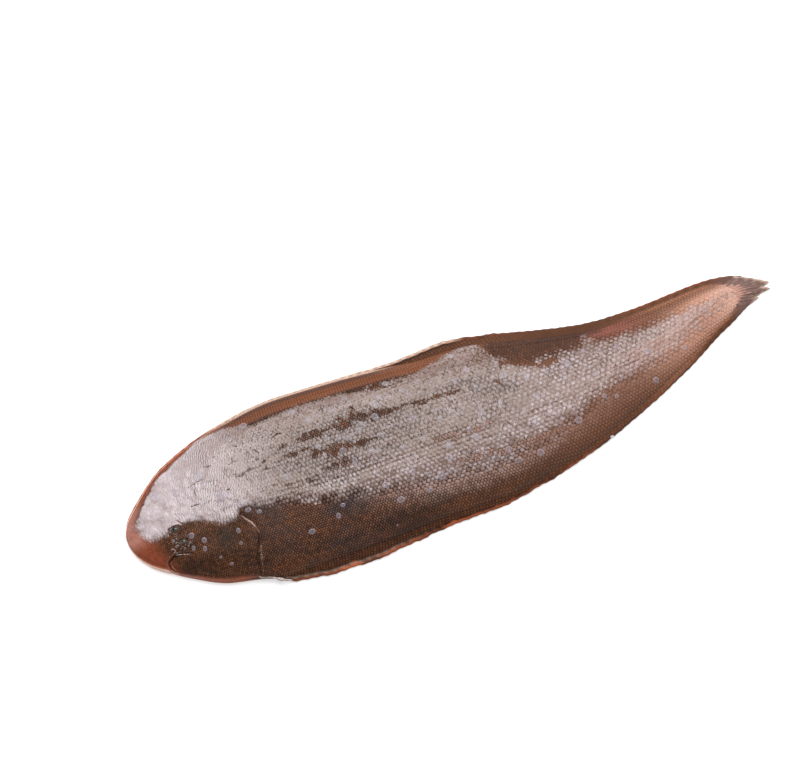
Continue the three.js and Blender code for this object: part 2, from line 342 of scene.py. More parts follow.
def scale_lattice(at, across, share):
    """Column and row of places among the scales under the film."""
    drift = 0.10 * value_noise(at / 17, across / 11, 3) + 0.07 * value_noise(at / 3.3, across / 3.3, 6)
    column = count_columns(SCALE_PITCH, at) + 0.25 * value_noise(at / 4, across / 3, 5)
    return column, across / SCALE_ROW * (1 + EDGE_ROWS * share**2) + drift


def fine_lattice(at, across):
    """Column and row of places among the scales elsewhere."""
    drift = 0.12 * value_noise(at / 13, across / 9, 7)
    return count_columns(FINE_PITCH, at), across / (FINE_ROW * smooth(FINE_PITCH, at)) + drift


def scale_dome(column, row):
    """0 between scales to 1 on the middle of a scale, for columns whose scales step by half a row."""
    nearest = np.full(np.shape(column), 9.0)
    height = np.ones(np.shape(column))
    for shift in (0.0, 0.5):
        i = np.round(column / 2 + shift) - shift
        j = np.round(row + shift) - shift
        d = (2 * (column / 2 - i) * 0.98) ** 2 + ((row - j) * 3.0) ** 2
        closer = d < nearest
        height = np.where(closer, 0.72 + 0.42 * hashed(2 * i, 2 * j, 5), height)
        nearest = np.minimum(nearest, d)
    return np.clip(1 - nearest, 0, 1) * height


# ---- Relief of the eyed side, in millimetres ------------------------------------------------------


def gill_offset(at, across):
    """How far behind the line of the gill cover's edge points lie, and 1 where that edge is free."""
    behind = at - smooth(GILL_EDGE, across)
    along_edge = ease(across, -41, -37) * (1 - ease(across, -9, -3))
    return behind, along_edge


def back_creases(at, across):
    """Waves, from -1 to 1, of the creases where the back bends behind its widest part."""
    return np.cos(2 * np.pi * (at - 0.35 * across) / 1.9)


def muscle_bars(at):
    """Waves, from -1 to 1, of the bars that the fin muscles draw across the fish."""
    return np.cos(2 * np.pi * at / FIN_MUSCLE_BAR)


def scales_and_lumps(at, across, share):
    """Scales, the corrugated film on the head, and the lumps of skin and film."""
    column, row = scale_lattice(at, across, share)
    on_head = 1 - ease(at, 40, 95)
    filmed = ease(film_field(at, across), -6, 1)
    waves = column / 2 - row + 0.7 * value_noise(at / 7, across / 6, 8)
    corrugation = (0.5 + 0.5 * np.cos(2 * np.pi * waves)) * ease(at, 20, 45)
    corrugation = corrugation * (0.6 + 0.4 * value_noise(at / 4, across / 4, 9))
    scales = scale_dome(column, row) * (1 - 0.7 * on_head) * (0.30 + 0.35 * filmed)
    scales = scales + 0.24 * corrugation * on_head * filmed
    height = 0.16 * smooth(SCALE_RISE, at) * scales * ease(at, 2, 14)
    height += 0.35 * value_noise(at / 21, across / 13, 1)
    height += 0.14 * value_noise(at / 6, across / 5, 2)
    ripples = 0.09 * value_noise(at / 1.7, across / 1.5, 4)
    ripples += 0.10 * value_noise(at / 2.7, across / 3.3, 15)
    ripples += 0.10 * value_noise(at / 3.1, across / 2.3, 14) * on_head
    return (height + ripples * filmed) * (1 - ease(share, 0.90, 0.99))


def pore_lines(at, across):
    """The three lines of pores along the side: each a thin ridge in a shallow channel."""
    height = 0.0
    for line, strength, first in PORE_LINES:
        off = across - smooth(line, at)
        seen = strength * ease(at, first - 10, first + 10) * (1 - ease(at, 318, 332))
        height = height + seen * (0.14 * ridge(off, 0.45) - 0.16 * ridge(off, 1.7))
    return height


def fin_muscles(at, dorsal, share):
    """Furrow inside each fin's muscles, and the muscles' own fine bars between it and the fin."""
    along = ease(at, 45, 80) * (1 - ease(at, 275, 320))
    furrow = np.where(dorsal, 0.5, 0.12) * ridge(share - 0.865, 0.022)
    band = ease(share, 0.875, 0.91) * (1 - ease(share, 0.975, 1.0)) * np.where(dorsal, 1.0, 0.35)
    return (0.10 * muscle_bars(at) * band - furrow) * along


def gill_cover(at, across):
    """The gill cover, which lifts to its free edge and drops into a slot, and the ridge on the cheek."""
    behind, near = gill_offset(at, across)
    lift = 0.8 * ease(behind, -11, -1.2) * (1 - ease(behind, -0.7, 0.1))
    slot = 0.45 * ridge(behind - 0.45, 0.45) + 0.30 * ridge(behind - 1.5, 1.6)
    cheek = at - smooth(CHEEK_RIDGE, across)
    on_cheek = ease(across, -33, -27) * (1 - ease(across, -9, -4))
    return (lift - slot) * near + 0.22 * (ridge(cheek, 0.6) - ridge(cheek - 1.3, 0.8)) * on_cheek


def eye_sockets(at, across):
    """Sockets that stand up as swollen rings, with folds of skin behind the upper one."""
    height = 0.0
    lumps = 0.7 + 0.5 * value_noise(at / 1.1, across / 1.1, 12)
    for eye_at, eye_across, length, width in EYES:
        away = np.hypot((at - eye_at) / (length / 2), (across - eye_across) / (width / 2))
        height = height + 0.60 * ridge(away, 2.4) - 0.75 * ridge(away, 0.8)
        height = height + 0.55 * lumps * ridge(away - 1.42, 0.27)
    for shift in (0.0, 1.3, 2.6):
        fold = [
            (27.6 + shift, -2.6 + 0.4 * shift), (28.1 + shift, 0.2), (26.6 + shift, 2.6 - 0.3 * shift)
        ]
        height = height - (0.40 - 0.08 * shift) * ridge(distance_to_path(at, across, fold), 0.28)
    return height


def mouth_and_margin(at, across, dorsal):
    """Slit that curls in from the notch behind the hooked snout, and the head's fleshy margin."""
    mouth = distance_to_path(at, across, MOUTH)
    margin = edge_width(at, dorsal) - np.abs(across)
    height = 0.25 * ridge(mouth - 1.0, 0.5) - 0.8 * ridge(mouth, 0.30)
    height += 0.30 * ridge(margin - 1.4, 1.0) * (1 - ease(at, 45, 70)) * ease(at, 0.2, 2)
    return height - 0.25 * ridge(margin - 3.2, 0.8) * (1 - ease(at, 35, 60)) * ease(at, 1, 5)


def relief(at, across, dorsal, share):
    """Everything that stands above or below the smooth body."""
    creased = ridge(at - 203, 6) * ridge(share - 0.86, 0.10) * np.where(dorsal, 1, 0)
    return (
        scales_and_lumps(at, across, share)
        + pore_lines(at, across)
        + fin_muscles(at, dorsal, share)
        + gill_cover(at, across)
        + eye_sockets(at, across)
        + mouth_and_margin(at, across, dorsal)
        + 0.28 * back_creases(at, across) * creased
    )


def side_and_share(at, across):
    """Whether points lie to the back of the midline, and how far towards the fin's root."""
    dorsal = across >= 0
    return dorsal, np.clip(np.abs(across) / body_width(at, dorsal), 0, 1)


def smooth_height(at, across):
    """Height of the eyed side without its relief."""
    return top_height(at, *side_and_share(at, across))


def skin_height(at, across):
    """Height of the eyed side as it stands with its relief."""
    at, across = np.asarray(at, float), np.asarray(across, float)
    return smooth_height(at, across) + relief(at, across, *side_and_share(at, across))


# ---- Film -----------------------------------------------------------------------------------------


def film_field(at, across):
    """Millimetres inside the edge of the shining film; negative where the skin is bare."""
    crisp = 2.6 - 1.4 * ease(at, 196, 215)
    upper = crisp * (smooth(FILM_HIGH, at) - across) + 2
    return np.minimum(np.minimum(across - smooth(FILM_LOW, at), upper), at - 5.5)


def bare_streaks(at, across):
    """From 0 to 1 where the film is torn, in broken streaks with ragged edges, or marked."""
    bent = across + 0.7 * value_noise(at / 4.5, across / 3, 31)
    ragged = 0.4 * value_noise(at / 1.4, across / 1.9, 33) + 0.5 * value_noise(at / 3.9, across / 2.6, 34)
    torn = ease(0.8 * inside_paths(at, bent, BARE_STREAKS) + ragged + 0.1, -0.1, 0.9)
    crease = back_creases(at, across) + 0.5 * value_noise(at / 1.5, across / 3, 35)
    creased = 1.1 * ridge(at - 200.5, 5.5) * ease(across, 25, 30) * ease(-crease, -0.1, 0.7)
    torn = np.maximum(torn, creased)
    return np.maximum(0.68 * torn, 1.05 * ease(inside_paths(at, across, MARKS), 0, 0.8))


# ---- Shader maths ---------------------------------------------------------------------------------


class Field:
    """A socket of a material that can be added, taken away, multiplied, divided and compared."""

    def __init__(self, shader, socket):
        self.shader = shader
        self.socket = socket

    def _math(self, operation, first, second):
        return self.shader.add("ShaderNodeMath", {"operation": operation}, {0: first, 1: second})

    def __add__(self, other):
        return self._math("ADD", self, other)

    def __radd__(self, other):
        return self._math("ADD", other, self)

    def __sub__(self, other):
        return self._math("SUBTRACT", self, other)

    def __rsub__(self, other):
        return self._math("SUBTRACT", other, self)

    def __mul__(self, other):
        return self._math("MULTIPLY", self, other)

    def __rmul__(self, other):
        return self._math("MULTIPLY", other, self)

    def __truediv__(self, other):
        return self._math("DIVIDE", self, other)

    def __pow__(self, other):
        return self._math("POWER", self, other)

    def fraction(self):
        return self._math("FRACT", self, 0.0)

    def cosine(self):
        return self._math("COSINE", self, 0.0)

    def floor(self):
        return self._math("FLOOR", self, 0.0)

    def below(self, other):
        return self._math("LESS_THAN", self, other)

    def lesser(self, other):
        return self._math("MINIMUM", self, other)

    def greater(self, other):
        return self._math("MAXIMUM", self, other)

    def clamped(self, low=0.0, high=1.0):
        return self.greater(low).lesser(high)

    def step(self, low, high):
        """0 below low, 1 above high, and smooth between."""
        options = {"interpolation_type": "SMOOTHSTEP"}
        sockets = {"Value": self, "From Min": low, "From Max": high}
        return self.shader.add("ShaderNodeMapRange", options, sockets)


def opaque(rgb):
    return (*rgb, 1.0)


class Shader:
    """A material whose nodes are added by methods and expressions."""

    def __init__(self, name):
        self.material = bpy.data.materials.new(name)
        self.material.use_nodes = True
        self.tree = self.material.node_tree
        self.tree.nodes.clear()

    def add(self, kind, options=None, sockets=None, output=0):
        """A node with its options set first, then the values or links of its sockets."""
        node = self.tree.nodes.new(kind)
        for key, value in (options or {}).items():
            setattr(node, key, value)
        for key, value in (sockets or {}).items():
            if isinstance(value, Field):
                self.tree.links.new(value.socket, node.inputs[key])
            else:
                node.inputs[key].default_value = value
        return Field(self, node.outputs[output])

    def attribute(self, name):
        return self.add("ShaderNodeAttribute", {"attribute_name": name}, output="Fac")

    def uv(self, name):
        return self.add("ShaderNodeUVMap", {"uv_map": name})

    def object_place(self):
        return self.add("ShaderNodeTexCoord", output="Object")

    def split(self, vector):
        """A vector's three numbers."""
        parts = self.add("ShaderNodeSeparateXYZ", None, {0: vector})
        return [Field(self, parts.socket.node.outputs[i]) for i in range(3)]

    def stretched(self, vector, x, y):
        """A place by which a pattern comes out narrower along and across."""
        return self.add("ShaderNodeVectorMath", {"operation": "MULTIPLY"}, {0: vector, 1: (x, y, 1.0)})

    def noise(self, vector, scale, detail=2.0, roughness=0.5):
        sockets = {"Vector": vector, "Scale": scale, "Detail": detail, "Roughness": roughness}
        return self.add("ShaderNodeTexNoise", None, sockets)

    def mix(self, first, second, share):
        """Two colours, each a field or three numbers, mixed by a share of the second."""
        options = {"data_type": "RGBA", "clamp_factor": True}
        first, second = (c if isinstance(c, Field) else opaque(c) for c in (first, second))
        return self.add("ShaderNodeMix", options, {0: share, 6: first, 7: second}, output=2)

    def layers(self, base, *over):
        """A colour with others laid over it in turn, each given with its share."""
        for layer, share in over:
            base = self.mix(base, layer, share)
        return base

    def join(self, x, y, z):
        return self.add("ShaderNodeCombineXYZ", None, {0: x, 1: y, 2: z})

    def own_number(self, vector):
        """From 0 to 1, another for each vector."""
        return self.add("ShaderNodeTexWhiteNoise", {"noise_dimensions": "3D"}, {"Vector": vector})

    def scale_cells(self, lattice, sideways, lengthways):
        """From 0 between scales to 1 on the middle of one, and each scale's own number."""
        column, row, _ = self.split(self.uv(lattice))
        nearest = own = None
        for shift in (0.0, 0.5):
            x = column / 2 + lengthways + (0.5 + shift)
            y = row + sideways + (0.5 + shift)
            away = ((x.fraction() - 0.5) * 1.96) ** 2 + ((y.fraction() - 0.5) * 3.1) ** 2
            number = self.own_number(self.join(x.floor(), y.floor(), shift))
            if nearest is None:
                nearest, own = away, number
            else:
                closer = away.below(nearest)
                nearest, own = nearest.lesser(away), number * closer + own * (1 - closer)
        return (1 - nearest).greater(0.0), own

    def bump(self, height, distance, strength=1.0):
        sockets = {"Height": height, "Distance": distance, "Strength": strength}
        return self.add("ShaderNodeBump", None, sockets)

    def finish(self, **sockets):
        """Closes the material, with values for the sockets of its one surface."""
        named = {key.replace("_", " "): value for key, value in sockets.items()}
        surface = self.add("ShaderNodeBsdfPrincipled", None, named)
        output = self.tree.nodes.new("ShaderNodeOutputMaterial")
        self.tree.links.new(surface.socket, output.inputs["Surface"])
        return self.material


# ---- Properties -----------------------------------------------------------------------------------


def colour(name, description, default):
    """A setting that holds a colour."""
    return bpy.props.FloatVectorProperty(
        name=name, description=description, subtype="COLOR", size=3, min=0, max=1, default=default
    )


class SoleSkinSettings(bpy.types.PropertyGroup):
    fineness: bpy.props.FloatProperty(
        name="Fineness", description="Mesh points along and across the fish, against the usual number",
        default=1.0, min=0.2, max=1.0,
    )
    brown: colour("Brown", "Eyed side between its scales", (0.0075, 0.0034, 0.0020))
    scale_brown: colour("Scale brown", "Middle of a scale on the bare eyed side", (0.165, 0.058, 0.0215))
    grey: colour("Grey", "Blue grey scales among the brown ones", (0.080, 0.072, 0.082))
    # Painted shade: dark brown laid over the back and beside the dorsal fin towards the tail; the same
    # colour also draws the slanted dark bars outside the fin muscles.
    shade: colour("Shade", "Dark brown beside the fins towards the tail", (0.044, 0.015, 0.008))
    # Film: its own grey brown, lightened by painted sheen where the wet film would mirror the light.
    film: colour("Film", "Grey brown film of water and slime on the eyed side", (0.205, 0.136, 0.111))
    # Painted highlight: pale lilac laid on the film, most on the scales' tops, where the wet skin would
    # mirror the light.
    painted_film_highlight: colour("Pale film", "Film on the tops of scales where it shines most", (0.40, 0.33, 0.35))
    # Thin film showing brown skin through, also used as painted shade between the scales and in the
    # valleys of the head's folds.
    thin_film_and_shade: colour("Thin film", "Film that lets the brown skin through", (0.060, 0.028, 0.017))
    # Head film with painted sheen: paler where the smooth wet head would mirror the light.
    head_film_and_sheen: colour("Head film", "Film over the head, thicker and paler", (0.46, 0.385, 0.395))
    # Painted highlight: lilac white spots where the film would shine most.
    painted_gleam: colour("Gleam", "Lilac white where the film shines most", (0.68, 0.62, 0.66))
    margin: colour("Margin", "Fleshy margin of the snout and head", (0.48, 0.145, 0.07))
    snout: colour("Snout", "Pink edge of the snout", (0.70, 0.36, 0.30))
    # Painted highlight: cream pink laid along the snout's thin edge, standing in for light caught there;
    # it also lightens the body's pinkish end a little.
    rim_light: colour("Rim light", "Cream pink edge of the snout and tail end", (0.95, 0.64, 0.54))
    # Thin veil of slime and painted sheen: beige laid on the scales' tops below the film, fading away
    # from its edge.
    veil_and_painted_sheen: colour("Veil", "Thin beige veil on the scales beside the film", (0.41, 0.275, 0.24))
    face: colour("Face", "Reddish front of the head", (0.25, 0.055, 0.022))
    gill: colour("Gill", "Nearly black patch on the gill cover", (0.013, 0.014, 0.013))
    tail: colour("Tail", "Warm brown towards the tail", (0.19, 0.078, 0.042))
    tail_end: colour("Tail end", "Pinkish end of the body", (0.49, 0.25, 0.175))
    # Thin film with painted sheen on the pinkish end of the body.
    tail_film_and_sheen: colour("Tail film", "Thin film on the pinkish end of the body", (0.33, 0.205, 0.18))
    blush: colour("Blush", "Red patch on the back near the tail", (0.28, 0.085, 0.066))
    fin_muscle: colour("Fin muscle", "Orange brown band inside the fins", (0.20, 0.062, 0.023))
    edge_line: colour("Edge line", "Beige line where the back meets its fin", (0.55, 0.37, 0.28))
    blind: colour("Blind side", "Pale skin of the side it lies on", (0.45, 0.34, 0.29))
    blind_pink: colour("Blind pink", "Pink patches of the blind side", (0.40, 0.20, 0.16))
    blind_scale: colour("Blind scale", "Scales of the blind side", (0.52, 0.44, 0.39))


class SoleFinSettings(bpy.types.PropertyGroup):
    samples_to_ray: bpy.props.IntProperty(
        name="Samples to a ray", description="Mesh stations from one fin ray to the next", default=12
    )
    membrane: colour("Membrane", "Dark skin between the fin rays", (0.020, 0.009, 0.006))
    root: colour("Root", "Dots of scales over the root of the fins", (0.125, 0.044, 0.018))
    ray: colour("Ray", "Fin rays under the skin", (0.062, 0.027, 0.016))
    warm: colour("Warm", "Brown of the fins towards the tail", (0.15, 0.062, 0.034))
    tip: colour("Tip", "Orange ends of the rays", (0.50, 0.125, 0.05))
    pale: colour("Pale", "Beige part of the fin along the back", (0.58, 0.40, 0.31))
    late: colour("Late", "Orange brown roots of the fins near the tail", (0.30, 0.13, 0.075))
    dusk: colour("Dusk", "Dark brown fins near the tail", (0.066, 0.026, 0.013))
    tail_root: colour("Tail root", "Pinkish skin over the tail fin's root", (0.42, 0.22, 0.17))
    tail_membrane: colour("Tail membrane", "Grey purple skin of the tail fin", (0.118, 0.064, 0.053))


class SoleFaceSettings(bpy.types.PropertyGroup):
    fold: colour("Fold", "Skin folds round the eyes", (0.12, 0.042, 0.022))
    bead: colour("Bead", "Wet lumps round the eyes", (0.20, 0.15, 0.135))
    crease: colour("Crease", "Dark parts of the folds", (0.030, 0.012, 0.008))
    lip: colour("Lip", "Skin of the lips", (0.22, 0.085, 0.06))
    pale: colour("Pale", "Nostril, lip line and throat membrane", (0.42, 0.33, 0.31))
    ridge: colour("Ridge", "Upper edge of the gill cover", (0.21, 0.145, 0.115))
    iris: colour("Iris", "Grey green of the iris", (0.085, 0.095, 0.08))
    iris_dark: colour("Iris dark", "Dark parts of the iris", (0.030, 0.033, 0.030))
    iris_ring: colour("Iris ring", "Thin ring round the pupil", (0.22, 0.16, 0.08))


class SoleDropSettings(bpy.types.PropertyGroup):
    count: bpy.props.IntProperty(name="Count", description="Drops of water on the skin", default=120)
    seed: bpy.props.IntProperty(name="Seed", description="Starts the random draws", default=7)
    smallest: bpy.props.FloatProperty(name="Smallest", description="Radius in millimetres", default=0.9)
    largest: bpy.props.FloatProperty(name="Largest", description="Radius in millimetres", default=2.7)
    # Milky lilac of slimy water, partly a painted reflection of the light on the drops.
    water: colour("Water", "Milky tint of the drops", (0.60, 0.55, 0.64))


class SoleStageSettings(bpy.types.PropertyGroup):
    lens: bpy.props.FloatProperty(name="Lens", description="Focal length in millimetres", default=85)
    distance: bpy.props.FloatProperty(
        name="Distance", description="Camera to the point it looks at", subtype="DISTANCE",
        unit="LENGTH", default=0.9617,
    )
    elevation: bpy.props.FloatProperty(
        name="Elevation", description="Camera above the floor", subtype="ANGLE", default=math.radians(75)
    )
    turn: bpy.props.FloatProperty(
        name="Turn", description="Camera's way round the fish", subtype="ANGLE",
        default=math.radians(-21.39),
    )
    aim: bpy.props.FloatVectorProperty(
        name="Aim", description="Point on the floor at the middle of the picture", subtype="XYZ",
        unit="LENGTH", size=3, default=(-0.0190, 0.0302, 0),
    )
    softbox: bpy.props.FloatProperty(
        name="Softbox", description="Power of the large light behind the fish", unit="POWER", default=24
    )
    softbox_distance: bpy.props.FloatProperty(
        name="Softbox distance", description="Softbox to the point that the camera looks at",
        subtype="DISTANCE", unit="LENGTH", default=1.15,
    )
    softbox_elevation: bpy.props.FloatProperty(
        name="Softbox elevation", description="Softbox above the floor", subtype="ANGLE",
        default=math.radians(63),
    )
    fill: bpy.props.FloatProperty(name="Fill", description="Even light all round", default=0.3)
    glow: bpy.props.FloatProperty(name="Glow", description="Light that the floor gives", default=0.6)
    floor: colour("Floor", "Plain pale floor", (0.46, 0.46, 0.46))
    floor_grain: colour("Floor grain", "Faint patches of the floor", (0.44, 0.44, 0.44))


class SoleSettings(bpy.types.PropertyGroup):
    skin: bpy.props.PointerProperty(type=SoleSkinSettings)
    fins: bpy.props.PointerProperty(type=SoleFinSettings)
    face: bpy.props.PointerProperty(type=SoleFaceSettings)
    drops: bpy.props.PointerProperty(type=SoleDropSettings)
    stage: bpy.props.PointerProperty(type=SoleStageSettings)


def settings():
    return bpy.context.scene.sole_settings


# ---- Making meshes --------------------------------------------------------------------------------


def deselect_all():
    """Leaves edit mode and nothing selected, before a primitive is added or a piece is worked on."""
    if bpy.context.object and bpy.context.object.mode != "OBJECT":
        bpy.ops.object.mode_set(mode="OBJECT")
    bpy.ops.object.select_all(action="DESELECT")


def named_primitive(name):
    """The primitive that was just added, under its name, and its points."""
    piece = bpy.context.object
    piece.name = piece.data.name = name
    points = np.zeros(len(piece.data.vertices) * 3)
    piece.data.vertices.foreach_get("co", points)
    return piece, points.reshape(-1, 3)


def new_grid(name, along, around):
    """A flat grid primitive, and for each of its points the step along and around it."""
    deselect_all()
    bpy.ops.mesh.primitive_grid_add(x_subdivisions=along, y_subdivisions=around, size=2)
    piece, flat = named_primitive(name)
    i = np.rint((flat[:, 0] + 1) / 2 * along).astype(int)
    j = np.rint((flat[:, 1] + 1) / 2 * around).astype(int)
    return piece, i, j


def new_ball(name, steps):
    """A sphere of radius one about the origin, with its points."""
    deselect_all()
    bpy.ops.mesh.primitive_uv_sphere_add(segments=steps, ring_count=steps // 2, radius=1)
    bpy.ops.object.shade_smooth()
    return named_primitive(name)


def corners_of(piece):
    """For each corner of each face, the number of its point."""
    corners = np.zeros(len(piece.data.loops), np.int32)
    piece.data.loops.foreach_get("vertex_index", corners)
    return corners


def set_points(piece, points):
    piece.data.vertices.foreach_set("co", np.ascontiguousarray(points, np.float32).ravel())
    piece.data.update()


def set_attribute(piece, name, values):
    attribute = piece.data.attributes.new(name, "FLOAT", "POINT")
    attribute.data.foreach_set("value", np.ascontiguousarray(values, np.float32))


def set_uv(piece, name, u, v):
    """A UV map from one pair of numbers for each point."""
    corners = corners_of(piece)
    layer = piece.data.uv_layers.get(name) or piece.data.uv_layers.new(name=name)
    layer.uv.foreach_set("vector", np.stack([u[corners], v[corners]], 1).astype(np.float32).ravel())


def close_up(piece):
    """Merges a wrapped grid along its seam and at its ends, and turns its faces outwards."""
    deselect_all()
    piece.select_set(True)
    bpy.context.view_layer.objects.active = piece
    bpy.ops.object.mode_set(mode="EDIT")
    bpy.ops.mesh.select_all(action="SELECT")
    bpy.ops.mesh.remove_doubles(threshold=1e-6)
    bpy.ops.mesh.normals_make_consistent(inside=False)
    bpy.ops.object.mode_set(mode="OBJECT")
    bpy.ops.object.shade_smooth()


def keep(piece, slot, *materials):
    """Gives a finished piece its finish and lets it move with the fish."""
    for material in materials:
        piece.data.materials.append(material)
    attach(piece, BODY)
    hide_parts(NODE)
    return piece


# ---- Skin -----------------------------------------------------------------------------------------

ZONES = (  # attributes that tell the eyed skin's material what each place is
    "film", "streak", "veil_and_painted_sheen", "on_head", "ragged", "deep", "belt", "worn", "rosy", "fine_zone",
    "margin", "face", "tip", "gill", "pit", "tail", "shade", "tail_end", "blush", "greys",
    "fin_muscle", "slanted", "edge_line",
)
SKIN_NOISES = {  # stretch along and across, scale, detail and roughness
    "broad": (1.0, 2.2, 30, 3, 0.5),
    "patchy": (1.0, 1.6, 120, 4, 0.6),
    "clot": (1.1, 0.8, 430, 2, 0.6),
    "fine": (2.0, 0.9, 520, 3, 0.65),
    "speckle": (1.3, 0.9, 1500, 2, 0.6),
}
# Painted shade: near black laid into the gill and mouth slits.
PAINTED_SLIT_SHADE = (0.006, 0.003, 0.002)


def skin_fields(shader):
    """The zones, noises and scales from which the eyed skin's colours are worked out."""
    f = SimpleNamespace(**{name: shader.attribute(name) for name in ZONES})
    place_on_skin = shader.uv("skin")
    for name, (along, across, *texture) in SKIN_NOISES.items():
        setattr(f, name, shader.noise(shader.stretched(place_on_skin, along, across), *texture))
    f.grain = shader.noise(shader.object_place(), 520, 3, 0.65)
    f.along, _, _ = shader.split(place_on_skin)
    f.deep = (f.deep + (f.broad - 0.5) * 1.6 + (f.patchy - 0.5) * 0.8).clamped()
    f.bald = f.streak * (f.clot * 2.2 + f.fine * 1.8 + f.speckle * 0.8 - 1.55)

    # Valleys between the wavy folds of the film on the head, sunk by the bump and painted darker as
    # shade.
    column, row, _ = shader.split(shader.uv("scales"))
    bent = (f.broad - 0.5) * 5.0 + (f.patchy - 0.5) * 3.2 + (f.fine - 0.5) * 0.8
    waves = ((column * 0.66 - row + bent) * (2 * math.pi)).cosine() * 0.5 + 0.5
    folded = (f.along + (f.broad - 0.5) * 0.04).step(0.016, 0.050)
    f.valleys = (1 - waves) ** 1.4 * (f.patchy * 3.0 + f.fine * 1.4 - 1.6).clamped() * folded

    # Large scales under the film, and small ones elsewhere and where it is torn.
    sideways, lengthways = (f.speckle - f.fine) * 0.5, (f.fine + f.patchy - 1.0) * 0.8
    large, own_large = shader.scale_cells("scales", sideways, lengthways)
    small, own_small = shader.scale_cells("fine_scales", sideways * 0.4, lengthways * 0.4)
    small_here = f.fine_zone.greater(f.bald.step(0.2, 0.5) * (1 - f.on_head) * 0.8)
    f.scale = large * (1 - small_here) + small * small_here
    f.own = own_large * (1 - small_here) + own_small * small_here
    return f


def film_cover(f):
    """How much the film covers: all well inside its edge, and where it is thin the scales' tops."""
    inside = f.film + (f.patchy - 0.5) * (f.ragged * 11 + 4) + (f.own - 0.5) * (1 - f.on_head) * 3
    inside = (inside / 6).clamped(-0.7, 1.0)
    grit = (f.fine - 0.5) * 1.6 + (f.speckle - 0.5) * 1.3
    thick = inside * (f.deep * 0.20 + 0.66) + f.scale * (0.42 - f.deep * 0.15) + grit - f.bald * 1.1
    specks = (f.speckle * 0.35 + f.fine * 0.65).step(0.52, 0.60)
    specks = specks * (f.patchy * 2.2 + f.broad * 2.2 - 1.35).clamped()
    on_body = thick.step(0.26, 0.78) * (1 - specks * (0.95 - f.deep * 0.25))
    over_head = inside * 1.25 + (f.fine - 0.5) * 1.1 + (f.speckle - 0.5) * 0.9
    over_head = over_head + (f.patchy - 0.5) * 0.8 - f.bald * 1.3
    return on_body * (1 - f.on_head) + over_head.step(-0.05, 0.85) * f.on_head


def bare_skin(shader, look, f):
    """Colour of the skin beside and under the film, with a thin veil and painted sheen on the scales
    below the film, painted shade towards the tail and a painted highlight along the snout's edge.
    """
    tone = (f.patchy * 0.6 + f.broad * 1.4).step(0.60, 1.35)
    dots = f.scale.step(0.05, 0.85) * (f.own * 0.9 + 0.45) * (tone * 0.80 + 0.25)
    greyish = (1 - tone) * (f.patchy * 1.8 - 0.45).greater(0.0) * f.scale.step(0.1, 0.8)
    veil_sheen_on_tops = f.scale.step(0.0, 0.75) * (f.own * 0.6 + f.patchy * 1.8 - 0.4)
    pink = (1 - f.along.step(0.010, 0.040)) * (f.grain + 0.1)
    rim_highlight_edge = f.margin.step(0.45, 0.85) * (1 - f.along.step(0.016, 0.050))
    return shader.layers(
        shader.mix(look.brown, look.scale_brown, dots),
        (look.grey, greyish * f.greys),
        (look.veil_and_painted_sheen, f.veil_and_painted_sheen * veil_sheen_on_tops),
        (look.tail, f.tail * (f.scale * 0.62 + 0.38)),
        (look.tail_end, f.tail_end * (f.scale * 0.5 + 0.5)),
        # Painted shade over the back and beside the fins towards the tail.
        (look.shade, f.shade * (1 - dots * 0.4)),
        (look.blush, f.blush * (f.scale * 0.5 + f.patchy * 2.2 - 0.65)),
        (look.gill, f.gill * (1 - f.scale * 0.45)),
        (look.face, f.face * (f.grain * 2.2 - 0.25)),
        (look.fin_muscle, f.fin_muscle),
        (look.shade, f.slanted),
        (look.edge_line, f.edge_line * (f.fine * 1.4 + 0.1)),
        (look.snout, f.tip * (f.patchy * 0.5 + 0.1)),
        (shader.mix(look.margin, look.snout, pink), f.margin),
        # Painted highlight along the snout's edge.
        (look.rim_light, rim_highlight_edge * 0.95),
        (look.rim_light, f.tail_end * f.along.step(0.306, 0.334) * 0.3),
    )


